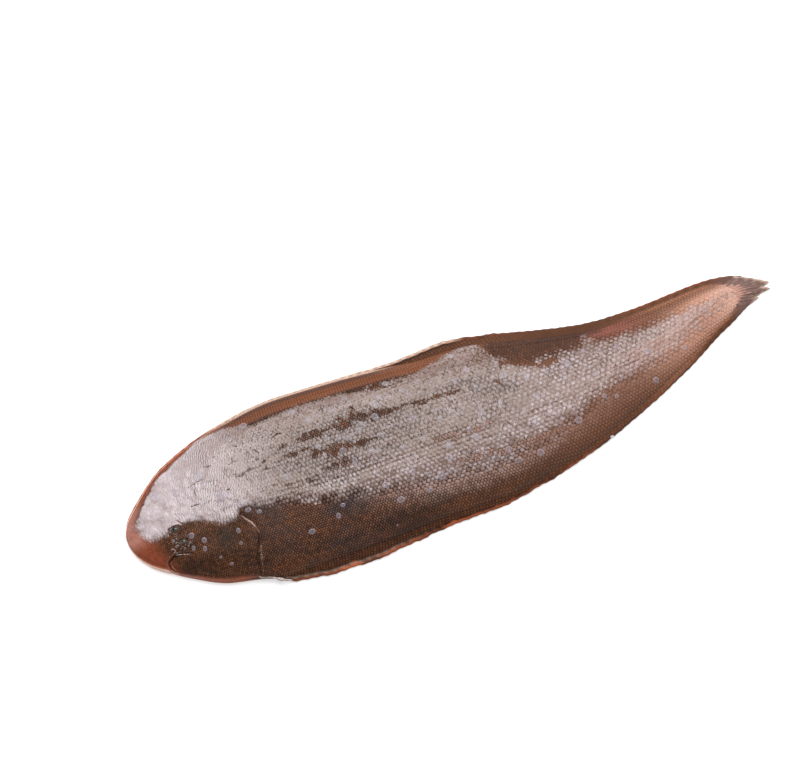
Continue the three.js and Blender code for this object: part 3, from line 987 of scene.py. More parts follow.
def film_colour(shader, look, f):
    """Colour of the film, its own grey brown lightened by painted sheen: flecked grey with painted
    highlights and gleams, brown where it gapes with painted shade between the scales, rosy to the tail
    and pale on the head.
    """
    # Painted highlights: the film is paled on the scales' tops in the belt, and in noisy patches
    # elsewhere.
    painted_shine = f.belt * (f.scale * (f.own + 0.3)).step(0.25, 1.05) * (f.patchy * 1.6 + 0.15)
    painted_shine = painted_shine - f.rosy * 0.22 + (f.clot - 0.5) * (2.6 - f.deep * 1.2 + f.rosy * 0.9)
    painted_shine = painted_shine + (f.speckle - 0.5) * 1.3 + (f.fine - 0.5) * 1.4 + f.deep * 0.12
    painted_shine = painted_shine + (f.broad - 0.5) * 1.4 + (f.patchy - 0.5) * 0.8 + f.worn * 0.12

    open_here = f.patchy * 2.2 + f.fine * 2.4 + f.own * 0.7 + f.broad * 0.8 - 3.0 - f.deep * 0.2
    open_here = open_here + f.worn - f.rosy * 0.25 - f.belt * (1 - f.rosy * 1.8).greater(0.0) * 0.8
    # Gaps between the scales where the film gapes: partly brown skin showing through, partly painted
    # shade between the scales.
    gaps_and_shade = (1 - f.scale + (f.fine - 0.5) * 2.6 - (f.clot - 0.5) * 2.4).step(0.35, 0.85)
    gaps_and_shade = gaps_and_shade * open_here.step(-0.15, 0.35)
    between = gaps_and_shade * 0.9 + (f.fine * 0.6 + f.patchy * 0.4).step(0.48, 0.60) * 0.3 + f.worn * 0.20

    # Patches of painted sheen over the head's film.
    painted_sheen_clouds = (f.patchy * 1.8 + f.fine * 1.2 + f.broad * 0.8 - 0.85 - f.valleys * 0.6).step(0.25, 1.15)
    freckles = (f.speckle * 0.4 + f.fine * 0.6).step(0.54, 0.64)
    # Painted highlights on the film, in noisy spots, fewer in the head's valleys.
    painted_gleam = (f.patchy * 1.6 + f.fine * 2.0 + f.speckle * 0.6 - 2.15 - f.valleys * 0.5).step(0.0, 0.7)
    over_head = shader.layers(
        look.film,
        (look.head_film_and_sheen, painted_sheen_clouds * 0.85 + 0.15),
        (look.thin_film_and_shade, f.valleys * 0.60 + freckles * 0.4),
        (look.painted_gleam, painted_gleam),
    )
    return shader.layers(
        look.film,
        (look.painted_film_highlight, painted_shine),
        (look.tail_film_and_sheen, f.rosy * (f.fine * 0.9 + f.patchy * 0.9 - 0.30)),
        (look.thin_film_and_shade, between * (1 - f.rosy * 0.35)),
        (look.tail_film_and_sheen, f.tail_end * (f.fine * 0.6 + 0.5)),
        (look.painted_gleam, painted_gleam * (f.deep * 0.5 + f.belt * 0.5) * 0.6),
        (over_head, f.on_head),
    )


def eyed_skin_material(look):
    """Dark scaled skin, its film lightened by painted sheen, painted shade in its slits and towards the
    tail, and the reddish and orange parts of head, fins and tail.
    """
    shader = Shader("eyed_skin")
    f = skin_fields(shader)
    cover = film_cover(f)
    skin = shader.layers(
        bare_skin(shader, look, f),
        (film_colour(shader, look, f), cover),
        (PAINTED_SLIT_SHADE, f.pit),
    )
    scales_and_folds = f.scale * (1 - f.on_head) - f.valleys * f.on_head
    relief_map = scales_and_folds * 0.8 + f.speckle * 0.5 + f.fine * 1.6 + cover * 0.3
    return shader.finish(
        Base_Color=skin,
        Roughness=0.5 - cover * 0.15,
        Specular_IOR_Level=0.18,
        Coat_Weight=cover * 0.95 + 0.03,
        Coat_Roughness=0.15,
        Coat_IOR=1.36,
        Normal=shader.bump(relief_map, 0.0003),
    )


def blind_skin_material(look):
    """Pale skin of the side the fish lies on, with its own fainter scales and pink patches."""
    shader = Shader("blind_skin")
    place_on_skin = shader.uv("skin")
    broad = shader.noise(place_on_skin, 30, 4)
    fine = shader.noise(place_on_skin, 500, 3)
    scale, own = shader.scale_cells("scales", (fine - 0.5) * 0.5, (broad - 0.5) * 0.5)
    skin = shader.layers(
        look.blind,
        (look.blind_pink, broad.step(0.45, 0.75) * 0.6),
        (look.blind_scale, scale.step(0.2, 0.9) * (own * 0.4 + 0.2)),
    )
    return shader.finish(
        Base_Color=skin,
        Roughness=0.42 - fine * 0.1,
        Coat_Weight=0.3,
        Coat_Roughness=0.2,
        Normal=shader.bump(scale.step(0.0, 0.6) + fine * 0.4, 0.0001),
    )


UNDER_STEPS = 20  # mesh points across the blind side
RIM_STEPS = 3  # and round each rim
NOSE_STATIONS = [0.0, 0.02, 0.1, 0.22, 0.38, 0.6, 0.85, 1.15, 1.5, 1.9]  # the first rings
AFTER_NOSE = 2.2  # where even steps begin
TOWARDS_END = [0.3, 0.12, 0.04, 0.0]  # how far the last rings of the rounded end lie from it


def section_stations(first, last, step):
    """Distances from the snout of a section's rings: closer at the nose and at the rounded end."""
    stations = np.arange(first, last - step / 2, step)
    if first == 0:
        stations = np.concatenate([NOSE_STATIONS, np.arange(AFTER_NOSE, last, step)])
    end = TOWARDS_END if last == CORE_CLOSES[1] else [0.0]
    return np.concatenate([stations[stations < last - end[0] - 0.02], last - np.array(end)])


def tail_warmth(at):
    """From 0 on the front to 1 on the warm brown rear."""
    return 0.25 * ease(at, 120, 190) + 0.75 * ease(at, 170, 250)


def film_zones(at, across, dorsal, share):
    """Where the film lies, and where it is deep, torn, worn, ragged or rosy, and where painted highlights
    and painted sheen lie on the scales in it and beside it.
    """
    field = film_field(at, across)
    low = across - smooth(FILM_LOW, at)
    upper = (1 - ease(smooth(FILM_HIGH, at) - across, 8, 16)) * (1 - ease(at, 165, 200))
    # Veil and painted sheen on the scales below the film's lower edge, stronger towards it.
    veil_and_painted_sheen = np.clip((low + 15) / 15, 0, 1) ** (2.2 - 1.3 * ease(at, 140, 175)) * ease(at, 100, 150)
    # Belt of painted highlights on the scales' tops: along the film's lower edge, and over the rear.
    belt = ridge(low - 6, 9) * ease(at, 85, 120) + ease(at, 190, 230) * (1 - 0.5 * ease(at, 225, 290))
    worn = inside_paths(at, across, WORN_PATCHES) + 0.35 * value_noise(at / 9, across / 6, 36)
    return {
        "film": field,
        "streak": bare_streaks(at, across),
        "veil_and_painted_sheen": veil_and_painted_sheen * (1 - ease(share, 0.75, 0.92)) * np.where(dorsal, 0, 0.9),
        "on_head": 1 - ease(at + 0.25 * across, 42, 92),
        "ragged": np.clip(ridge(low, 12) * ease(at, 60, 110) + ease(at, 200, 240), 0, 1),
        "deep": np.clip(1 - ease(at, 45, 100) + 0.85 * upper + 0.12, 0, 1),
        "belt": np.clip(belt, 0, 1),
        "worn": ease(worn, -0.1, 0.9),
        "rosy": ease(at, 195, 285),
        "fine_zone": np.clip(1 - ease(field, -3.5, 0.5) + (1 - ease(at, 38, 60)), 0, 1),
    }


def head_zones(at, across, dorsal):
    """Fleshy margin of the head, its reddish front, the snout's tip, the gill cover and the painted shade
    in the gill and mouth slits.
    """
    margin = edge_width(at, dorsal) - np.abs(across)
    hook = 1 - ease(at, 14, 20)
    belly_end = 1 - ease(at, 48, 62)
    thinner = np.where(dorsal, 1, 0.3 + 0.7 * hook)
    rim = 1 - ease(margin, 0.8 * thinner, 2.6 * thinner)
    rim = rim * np.where(dorsal, 1 - ease(at, 50, 75), belly_end)
    front = (1 - ease(at + 0.35 * across, 4, 15)) * ease(-across, -8, 2)
    wider = np.where(dorsal, 1.5, 0.35 + 0.65 * hook)
    near_rim = 1 - ease(margin, 1.2 * wider, 5.2 * wider)
    face = front + 0.85 * near_rim * np.where(dorsal, 1 - ease(at, 40, 70), belly_end)

    behind, near = gill_offset(at, across)
    broken = 0.45 + 0.6 * value_noise(across / 1.7, at / 3, 21)
    gill_slit = ridge(behind - 0.4 - 0.3 * value_noise(across / 1.3, 0 * at, 22), 0.38) * near
    mouth_slit = ridge(distance_to_path(at, across, MOUTH), 0.25)
    return {
        "margin": rim * np.where(dorsal, 0.95, 0.50 + 0.45 * hook),
        "face": np.clip(face, 0, 1),
        "tip": (1 - ease(at, 4, 15)) * ease(across, -9, -1),
        "gill": ridge(at - 47.5, 5.5) * ridge(across + 16.5, 5.5),
        "pit": np.clip(np.maximum(0.7 * broken * gill_slit, 0.7 * mouth_slit), 0, 1) * 0.85,
    }


def tail_zones(at, across, dorsal, share):
    """Warm brown towards the tail, painted shade on the back and beside the fins, the pinkish end, the
    red patch and the grey scales.
    """
    # Painted shade: darker on the back above the film's edge and beside the fins, towards the tail.
    on_back = ease(across - smooth(FILM_HIGH, at), -4, 3) * (1 - ease(at, 240, 295))
    at_fin = ease(share, np.where(dorsal, 0.80, 0.90), 1.0) * np.where(dorsal, 1, 0.25)
    at_fin = at_fin * (1 - ease(at, 262, 290))
    shade = 0.45 * on_back * ease(at, 150, 210) + 0.75 * at_fin * ease(at, 190, 240)
    core = ridge(across - 1.2, np.where(dorsal, 9, 14)) + 0.42
    begins = np.where(dorsal, ease(at, 278, 318), ease(at, 255, 300))
    reach_out = np.where(
        dorsal, ease(share, 0.45, 0.9) * (1 - ease(at, 322, 332)), 0.7 * ease(share, 0.82, 1)
    )
    before_tail = (1 - 0.85 * ease(at, 112, 142)) * (1 - ease(at, 150, 230))
    return {
        "tail": tail_warmth(at) * (1 - 0.75 * on_back),
        "shade": np.clip(shade, 0, 0.9),
        "tail_end": np.clip(begins * core, 0, 1) * (1 - 0.8 * reach_out),
        "blush": 0.8 * ridge(at - 267, 13) * ridge(across - 15 + 0.12 * (at - 267), 4.0),
        "greys": np.where(dorsal, 0.3, 1) * ease(at, 45, 80) * before_tail,
    }


def muscle_zones(at, dorsal, share):
    """Orange band of the fin muscles, the slanted dark lines outside it and the beige edge."""
    inner = np.where(dorsal, 0.79, 0.865)
    stretch = ease(at, 52, 70) * (1 - ease(at, 185, 205))
    bars = 0.62 + 0.38 * muscle_bars(at)
    wander = 1.5 * value_noise(at / 5, 0 * at, 23)
    slanted = 0.5 + 0.5 * np.cos(2 * np.pi * (at / 2.5 + share * 32) + wander)
    lined = stretch * np.where(dorsal, 1, 0) * (1 - ease(at, 138, 156))
    return {
        "fin_muscle": ease(share, inner, inner + 0.04) * stretch * bars * np.where(dorsal, 1, 0.15),
        "slanted": lined * ease(share, 0.895, 0.925) * (0.35 + 0.6 * slanted),
        "edge_line": lined * ease(share, 0.962, 0.972),
    }


def skin_zones(piece, at, across, dorsal, share):
    """Sets all the attributes that the eyed skin's material reads."""
    zones = {
        **film_zones(at, across, dorsal, share),
        **head_zones(at, across, dorsal),
        **tail_zones(at, across, dorsal, share),
        **muscle_zones(at, dorsal, share),
    }
    for name in ZONES:
        set_attribute(piece, name, zones[name])


def skin_section(name, first, last, step, top, materials):
    """A closed stretch of the body. Where it meets the next one, both dip a little under each other."""
    stations = section_stations(first, last, step)
    around = top + UNDER_STEPS + 2 * RIM_STEPS
    piece, i, j = new_grid(name, len(stations) - 1, around)
    at = stations[i]

    # Over the top from the ventral rim to the dorsal rim, round it, and back underneath.
    t = np.clip(j / top, 0, 1) * 2 - 1
    over = t * (1.10 - 0.10 * t * t)
    under_steps = np.clip((j - top - RIM_STEPS) / UNDER_STEPS, 0, 1)
    signed = np.where(j <= top, over, 1 - 2 * under_steps)
    dorsal = signed >= 0
    share = np.abs(signed)
    across = signed * body_width(at, dorsal)
    z = top_height(at, dorsal, share) + relief(at, across, dorsal, share)

    # Rounded rim between the top and the underside.
    rim = rim_height(at) * flattening(at)
    back_side = (j > top) & (j - top <= RIM_STEPS)
    belly_side = around - j < RIM_STEPS
    on_edge = back_side | belly_side
    turn = np.pi / (RIM_STEPS + 1) * np.where(back_side, j - top, around - j)
    width = body_width(at, back_side)
    bulge = 0.35 * np.sin(turn) * np.minimum(rim, width) / 2
    across = np.where(on_edge, np.where(back_side, 1, -1) * (width + bulge), across)
    z = np.where(on_edge, rim * (0.5 + 0.5 * np.cos(turn)) * 0.92 + 0.02, z)
    under = (j > top) & ~on_edge
    z = np.where(under, 0.5 * ease(share, 0.62, 1.0) ** 1.5, z)
    z = np.maximum(z, 0.0)

    # Both ends draw in where they meet the next section, and close on a point inside.
    dip = np.where(first > 0, 1 - ease(at, first, first + 2), 0)
    dip = dip + np.where(last < CORE_CLOSES[0], ease(at, last - 2, last), 0)
    across = across * (1 - 0.006 * dip)
    crown = top_height(at, dorsal, 0 * share)
    z = z + (crown / 2 - z) * 0.02 * dip
    at_end = (i == 0) | (i == len(stations) - 1)
    across = np.where(at_end, 1.2 if first == 0 else 0.0, across)
    z = np.where(at_end, np.where(crown > 4, 4.0, 0.9), z)
    set_points(piece, place(at, across, z))

    set_uv(piece, "skin", at * MM, across * MM)
    set_uv(piece, "scales", *scale_lattice(at, across, share))
    set_uv(piece, "fine_scales", *fine_lattice(at, across))
    skin_zones(piece, at, across, dorsal, share)

    below = (under | (on_edge & (turn > 2)))[corners_of(piece)].reshape(-1, 4).all(axis=1)
    piece.data.polygons.foreach_set("material_index", below.astype(np.int32))
    close_up(piece)
    return keep(piece, "eyed_skin", *materials)


class MESH_OT_sole_skin(bpy.types.Operator):
    """Skin of the whole body, scaled on the eyed side and flat and pale underneath"""

    bl_idname = "mesh.sole_skin"
    bl_label = "Sole skin"

    def execute(self, context):
        look = settings().skin
        materials = (eyed_skin_material(look), blind_skin_material(look))
        fine = look.fineness
        skin_section("head_skin", 0, 64, 0.23 / fine, int(250 * fine), materials)
        skin_section("middle_skin", 61, 182, 0.37 / fine, int(240 * fine), materials)
        skin_section("rear_skin", 179, CORE_CLOSES[1], 0.42 / fine, int(205 * fine), materials)
        return {"FINISHED"}


# ---- Fins -----------------------------------------------------------------------------------------

FIN_ZONES = (  # attributes that tell the fins' material what each place is
    "ray", "reach", "tail", "late", "orange", "under_line", "pale", "dusk", "end",
)
OUT_STEPS = 12  # mesh points over a fin from root to tip
BACK_STEPS = 8  # and back underneath
FIN_LIFT = [[0, 0], [60, 1.2], [90, 2.1], [150, 2.1], [185, 0.9], [350, 0.2]]  # along the back
TOOTH = 0.2  # by how far rays stand out of the fin's edge

TAIL_TIPS = [  # the tail fin's edge: (share of the way round, distance from the snout, to the back)
    (0, 334.0, 11.2), (0.14, 340.5, 7.9), (0.28, 346.3, 4.3), (0.42, 350.0, 1.7), (0.50, 346.0, 0.5),
    (0.60, 349.4, -1.7), (0.70, 343.4, -2.4), (0.76, 340.9, -3.1), (0.83, 341.4, -4.2),
    (0.91, 338.0, -5.1), (1.0, 331.0, -7.3),
]
TAIL_ROOTS = [  # and its root, laid out in the same way
    (0, 325.0, 8.0), (0.25, 329.5, 5.4), (0.5, 331.0, 2.0), (0.75, 329.0, -0.6), (1, 323.0, -3.6),
]
TAIL_RAYS = 11


def fin_material(name, look):
    """Thin wet membrane between rays; pale along the front of the back, dark towards the tail."""
    shader = Shader(name)
    f = SimpleNamespace(**{zone: shader.attribute(zone) for zone in FIN_ZONES})
    mottle = shader.noise(shader.uv("skin"), 260, 3)
    dots, own = shader.scale_cells("fine_scales", (mottle - 0.5) * 0.6, (mottle - 0.5) * 0.8)
    root = shader.layers(
        look.membrane,
        (look.root, dots.step(0.15, 0.9) * (own * 0.5 + 0.5)),
        (look.warm, f.tail * (dots * 0.4 + 0.5)),
        (look.late, f.late * (dots * 0.5 + 0.4)),
    )
    outer = shader.mix(look.membrane, look.ray, f.ray * 0.7 + mottle.step(0.5, 0.8) * 0.2)
    not_root = 1 - f.late * (1 - f.reach.step(0.30, 0.62))
    skin = shader.layers(
        root,
        (outer, (f.reach - f.tail * 0.2).step(0.55, 0.75)),
        (look.tip, (f.reach + (mottle - 0.5) * 0.4).step(0.70, 0.88) * f.orange),
        (look.membrane, f.under_line * 0.85),
        (look.pale, f.pale * (f.ray * 0.45 + 0.55)),
        (look.dusk, f.dusk * (mottle + 0.4) * not_root * (1 - f.reach.step(0.88, 0.98))),
        (look.tail_membrane, f.end * (mottle * 0.6 + 0.6)),
    )
    return shader.finish(
        Base_Color=skin,
        Roughness=0.6,
        Specular_IOR_Level=0.08,
        Normal=shader.bump(mottle, 0.0001),
    )


def blade(name, along, out, back):
    """A grid for a thin closed blade, its steps along, and each point's reach from root to tip and
    side, which is half above, minus half below and nothing on the edge."""
    piece, i, j = new_grid(name, along, out + back)
    reach = np.where(j <= out, j / out, 1 - (j - out) / back)
    side = np.where(j <= out, 0.5, -0.5) * np.where(j == out, 0, 1)
    return piece, i, reach, side


def fin_blade(name, dorsal, first, last, samples_to_ray):
    """One fin as a closed thin blade whose rays stand out, from its root in the body to its tips."""
    sign = 1 if dorsal else -1
    along = int((last - first) / RAY_PITCH * samples_to_ray)
    piece, i, reach, side = blade(name, along, OUT_STEPS, BACK_STEPS)
    at = first + (last - first) * i / along
    ray = (0.5 + 0.5 * np.cos(2 * np.pi * at / RAY_PITCH)) ** 1.6

    # In plan: from inside the body to tips that sweep back, toothed by the rays and a little ragged.
    fin = fin_width(at, dorsal)
    scale = np.minimum(fin / 3, 1)
    calmer = ease(at, 190, 225)
    root = body_width(at, dorsal) - 1.6
    ragged = 0.35 * value_noise(at / 9, 0 * at, 11) + 0.25 * value_noise(at / 2.9, 0 * at, 12)
    ragged = ragged * (1 - 0.75 * calmer)
    tip = edge_width(at + FIN_SWEEP * fin, dorsal) + (TOOTH * (ray - 0.45) + ragged) * scale
    across = sign * (root + (tip - root) * reach)

    # In height: down from the rim, waving, and thicker at the rays and the root.
    drop = (1 - 0.75 * ease(at, 318, 330)) * rim_height(at) * (1 - reach**1.6) + 0.7 * reach
    wave = 0.45 * value_noise(at / 13, 0 * at, 13 + sign) * reach**2 * scale * (1 - 0.6 * calmer)
    lift = smooth(FIN_LIFT, at) if dorsal else 0.35
    thickness = (0.55 + 0.55 * ray) * (1 - reach) ** 0.8 + 0.16 + 0.26 * ray * (1 - 0.5 * reach)
    thickness = thickness * ease(i, 0, 10) * (1 - ease(i, along - 10, along))
    z = np.maximum(drop + wave + lift * reach**1.5 + side * thickness, 0.05)
    tip_at = np.minimum(at + FIN_SWEEP * fin * reach, FISH_LENGTH - 1)
    set_points(piece, place(tip_at, across, z))

    set_uv(piece, "skin", at * MM, across * MM)
    set_uv(piece, "fine_scales", *fine_lattice(at, across))
    set_attribute(piece, "ray", ray)
    set_attribute(piece, "reach", reach)
    set_attribute(piece, "tail", tail_warmth(at))
    set_attribute(piece, "late", ease(at, 250, 300))
    set_attribute(piece, "end", ease(at, 318, 332))
    set_attribute(piece, "dusk", 0.9 * (ease(at, 195, 235) if dorsal else ease(at, 282, 305)))
    return piece, at, (1 - reach) * (tip - root)


def tail_fin_material(look):
    """Grey purple membrane with pale rays and tips, over which the body's pink skin runs out."""
    shader = Shader("tail_fin")
    ray = shader.attribute("ray")
    reach = shader.attribute("reach")
    mottle = shader.noise(shader.uv("skin"), 300, 3)
    root = 1 - (reach + (mottle - 0.5) * 0.9 + (ray - 0.5) * 0.25).step(0.10, 0.42)
    skin = shader.layers(
        look.tail_membrane,
        (look.pale, ray * mottle.step(0.4, 0.7) * reach * 0.42),
        (look.tail_root, root * 0.85),
        (look.pale, (reach + (mottle - 0.5) * 0.3).step(0.80, 1.0) * 0.6),
    )
    return shader.finish(
        Base_Color=skin,
        Roughness=0.45,
        Specular_IOR_Level=0.2,
        Normal=shader.bump(mottle, 0.0001),
    )


class MESH_OT_sole_fins(bpy.types.Operator):
    """Fin along the back, fin along the belly and the tail fin"""

    bl_idname = "mesh.sole_fins"
    bl_label = "Sole fins"

    def execute(self, context):
        look = settings().fins
        back, at, inwards = fin_blade("dorsal_fin", True, 2.0, 336.0, look.samples_to_ray)
        lined = ease(at, 46, 58) * (1 - ease(at, 180, 193))
        set_attribute(back, "pale", lined * (1 - ease(inwards, 1.1, 1.8)))
        set_attribute(back, "under_line", lined * ridge(inwards - 2.3, 0.6))
        set_attribute(back, "orange", 0.20 + 0.80 * (1 - ease(at, 30, 80)) + 0.4 * ease(at, 265, 285))
        close_up(back)
        keep(back, "fin", fin_material("dorsal_fin", look))

        belly, at, inwards = fin_blade("anal_fin", False, 68.0, 334.0, look.samples_to_ray)
        patch = 0.5 + 0.9 * value_noise(at / 9, 0 * at, 17)
        orange = 1 - 0.45 * ease(at, 130, 180) - 0.3 * ease(at, 210, 260)
        set_attribute(belly, "pale", 0.5 * ridge(inwards - 1.7, 0.45) * (1 - ease(at, 105, 150)))
        set_attribute(belly, "orange", orange * np.clip(patch + 0.35, 0.25, 1))
        set_attribute(belly, "under_line", 0 * at)
        close_up(belly)
        keep(belly, "fin", fin_material("anal_fin", look))
        self.tail(look)
        return {"FINISHED"}

    def tail(self, look):
        """The pointed tail fin, whose worn rays end in three prongs."""
        along, steps = 120, 26
        piece, i, reach, side = blade("tail_fin", along, steps, steps)
        r = i / along
        ray = (0.5 + 0.5 * np.cos(2 * np.pi * r * TAIL_RAYS)) ** 1.5
        tip_r, tip_x, tip_y = zip(*TAIL_TIPS)
        root_r, root_x, root_y = zip(*TAIL_ROOTS)
        root_x, root_y = np.interp(r, root_r, root_x), np.interp(r, root_r, root_y)
        x = root_x + (np.interp(r, tip_r, tip_x) - root_x + 0.4 * (ray - 0.5)) * reach
        y = root_y + (np.interp(r, tip_r, tip_y) - root_y) * reach
        thickness = (1.0 - 0.72 * reach) * (0.75 + 0.25 * ray) * ease(np.minimum(r, 1 - r), 0, 0.03)
        z = 1.9 - 1.1 * reach + 0.3 * np.sin(3 * r + 1.0) * reach + side * thickness
        set_points(piece, np.stack([x - FISH_LENGTH / 2, y - FOOTPRINT_MIDDLE, z], -1) * MM)
        set_uv(piece, "skin", x * MM, y * MM)
        set_attribute(piece, "ray", ray)
        set_attribute(piece, "reach", reach)
        close_up(piece)
        keep(piece, "fin", tail_fin_material(look))


# ---- Face and gill cover --------------------------------------------------------------------------

FLESH = {  # wet bare skins of the face, and the two colours each shades between
    "orbit_fold": ("fold", "crease"),
    "pale_lip": ("pale", "lip"),
    "lip": ("lip", "fold"),
    "gill_ridge": ("ridge", "fold"),
    "gill_lip": ("ridge", "crease"),
    "throat_membrane": ("pale", "ridge"),
}
FOLDS = [  # raised folds of skin: name, flesh, path, half width, rise, lumps and, if deeper, depth
    ("lip_line", "pale_lip",
     [(20.6, -16.3), (23.4, -16.9), (26.2, -17.7), (28.9, -18.4)], 0.36, 0.40, 0.3),
    ("upper_lip", "lip",
     [(16.4, -23.4), (14.8, -21.4), (14.6, -18.3), (16.6, -16.4), (19.6, -15.6)], 0.32, 0.30, 0.3),
    ("lower_lip", "lip",
     [(17.6, -22.6), (16.8, -20.9), (16.7, -19.1), (18.6, -17.9)], 0.34, 0.30, 0.3),
    ("nostril", "pale_lip",
     [(19.0, -13.4), (19.9, -13.0), (20.9, -13.7), (20.9, -14.7), (20.0, -15.0)], 0.40, 1.0, 0.2),
    ("gill_ridge", "gill_ridge",
     [(57.2, -8.2), (59.3, -11.1), (61.5, -13.8), (63.2, -17.0), (63.9, -19.8)], 0.75, 0.40, 0.35),
    ("gill_lip", "gill_lip",
     [(63.6, -23.0), (62.7, -26.4), (61.9, -29.6), (61.3, -33.2), (60.6, -37.0)], 0.46, 0.28, 0.8),
    ("throat_membrane", "throat_membrane",
     [(57.5, -38.3), (60.5, -39.2), (64.5, -40.6), (68.5, -42.8), (73.0, -44.6)], 0.8, 0.35, 0.4, 1.2),
]
PUPIL = (0.004, 0.004, 0.005)
WELT_STEPS = 14  # mesh points round a fold


def along_path(path, count):
    """Evenly counted points on a smooth curve through a path's corners, and the curve's directions."""
    s = np.linspace(0, len(path) - 1, count)
    at = smooth([[k, a] for k, (a, _) in enumerate(path)], s)
    across = smooth([[k, c] for k, (_, c) in enumerate(path)], s)
    run = np.stack([np.gradient(at), np.gradient(across)], -1)
    run /= np.linalg.norm(run, axis=1, keepdims=True)
    return at, across, run


def welt(name, path, half, rise, lumps, sunk=0.4):
    """A raised fold of skin that follows a path over the eyed side and thins out at both ends."""
    length = 24 * (len(path) - 1)
    piece, i, j = new_grid(name, length, WELT_STEPS)
    at, across, run = along_path(path, length + 1)
    steps = np.arange(length + 1)
    thick = np.sin(np.pi * steps / length).clip(0, 1) ** 0.45
    thick = thick * (1 + lumps * value_noise(steps / 7.0, 0 * at, len(name)))
    turn = 2 * np.pi * j / WELT_STEPS
    ends = (i == 0) | (i == length)
    side = np.where(ends, 0, half * np.cos(turn) * thick[i])
    up = np.where(ends, -0.2, np.where(np.sin(turn) > 0, rise, sunk) * np.sin(turn) * thick[i])
    height = skin_height(at, across)[i] + up
    set_points(piece, place(at[i] - run[i, 1] * side, across[i] + run[i, 0] * side, height))
    set_uv(piece, "skin", at[i] * MM, across[i] * MM + j * 0.0002)
    close_up(piece)
    return piece


def flesh_material(name, first, second, roughness=0.3):
    """Wet bare skin that shades between two colours in small patches."""
    shader = Shader(name)
    mottle = shader.noise(shader.object_place(), 900, 3, 0.6)
    return shader.finish(
        Base_Color=shader.mix(first, second, mottle.step(0.35, 0.65)),
        Roughness=roughness,
        IOR=1.34,
        Coat_Weight=0.8,
        Coat_Roughness=0.12,
        Coat_IOR=1.34,
        Normal=shader.bump(mottle, 0.0002),
    )


def iris_material(name, look, seen):
    """Pupil, a thin bright ring and a mottled iris; the less of the iris is seen, the wider the pupil."""
    shader = Shader(name)
    away, turn, _ = shader.split(shader.uv("eye"))
    streaks = shader.noise(shader.join(turn * 3.0, away * 2.0, 0.0), 3.0, 3)
    eye = shader.layers(
        look.iris,
        (look.iris_dark, streaks.step(0.35, 0.65)),
        (look.iris_ring, away.step(0.44, 0.50) * (1 - away.step(0.50, 0.60)) * 0.6),
        (PUPIL, 1 - away.step(0.34 + 0.16 * (1 - seen), 0.44 + 0.18 * (1 - seen))),
        (look.fold, away.step(0.82, 1.0)),
    )
    return shader.finish(
        Base_Color=eye,
        Roughness=0.12,
        Coat_Weight=1.0,
        Coat_Roughness=0.03,
        Coat_IOR=1.38,
    )


def orbit_path(number, at, across, length, width):
    """A lumpy closed path round an eye."""
    path = []
    for k in range(9):
        turn = 2 * math.pi * k / 8 + 0.4
        swell = 1 + 0.22 * math.sin(3 * turn + number) + 0.10 * math.sin(5 * turn)
        path.append(
            (at + 0.62 * swell * length * math.cos(turn), across + 0.68 * swell * width * math.sin(turn))
        )
    return path


def flattened_balls(name, lumps, draw, above, below):
    """One mesh of low rounded lumps on the eyed side, whose heights are shares of their radii."""
    piece, unit = new_ball(name, 20)
    faces = [tuple(face.vertices) for face in piece.data.polygons]
    x, y, z = unit.T
    points, joined = [], []
    for at, across, radius in lumps:
        squash, lean = draw.uniform(0.85, 1.2), draw.uniform(0, math.pi)
        reached_at = at + radius * squash * (x * math.cos(lean) - y * math.sin(lean))
        reached_across = across + radius / squash * (x * math.sin(lean) + y * math.cos(lean))

        # The top is one smooth dome, and the underside sinks into the skin's relief.
        centre = skin_height(at, across)
        slope = smooth_height(reached_at, reached_across) - smooth_height(at, across)
        sunk = np.minimum(centre, skin_height(reached_at, reached_across))
        height = np.where(z > 0, centre + slope + radius * above * z, sunk + radius * below * z) + 0.02
        joined += [tuple(len(points) * len(unit) + corner for corner in face) for face in faces]
        points.append(place(reached_at, reached_across, height))
    mesh = bpy.data.meshes.new(name)
    mesh.from_pydata(np.concatenate(points).tolist(), [], joined)
    mesh.shade_smooth()
    piece.data = mesh
    set_attribute(piece, "crown", np.tile(np.clip(z, 0, 1), len(lumps)))
    return piece


class MESH_OT_sole_face(bpy.types.Operator):
    """Both eyes with their folds, the nostril, the lips and the edge of the gill cover"""

    bl_idname = "mesh.sole_face"
    bl_label = "Sole face"

    def execute(self, context):
        look = settings().face
        self.eyes(look)
        flesh = {
            name: flesh_material(name, getattr(look, first), getattr(look, second))
            for name, (first, second) in FLESH.items()
        }
        for number, eye in enumerate(EYES):
            fold = welt(f"orbit_fold_{number}", orbit_path(number, *eye), half=0.42, rise=0.34, lumps=0.7)
            keep(fold, "eyed_skin", flesh["orbit_fold"])
        draw = np.random.default_rng(3)
        beads = flattened_balls("eye_beads", EYE_BEADS, draw, above=0.75, below=0.2)
        keep(beads, "eyed_skin", flesh_material("eye_beads", look.bead, look.crease, roughness=0.15))
        for name, skin, *shape in FOLDS:
            keep(welt(name, *shape), "fin" if skin == "throat_membrane" else "eyed_skin", flesh[skin])
        return {"FINISHED"}

    def eyes(self, look):
        for number, (at, across, length, width) in enumerate(EYES):
            piece, unit = new_ball(f"eye_{number}", 32)
            x, y, z = unit.T
            lens = 0.28 * np.exp(-(x**2 + y**2) / 0.25)
            z = np.where(z > 0, (0.95 + lens) * z, 0.8 * z)
            z = z + skin_height(at, across) + 0.15
            set_points(piece, place(at + x * length / 2 * 0.92, across + y * width / 2 * 0.95, z))
            set_uv(piece, "eye", np.hypot(x + 0.12, y - 0.1), np.arctan2(y, x))
            keep(piece, "eye", iris_material(f"eye_{number}", look, number))


# ---- Drops ----------------------------------------------------------------------------------------


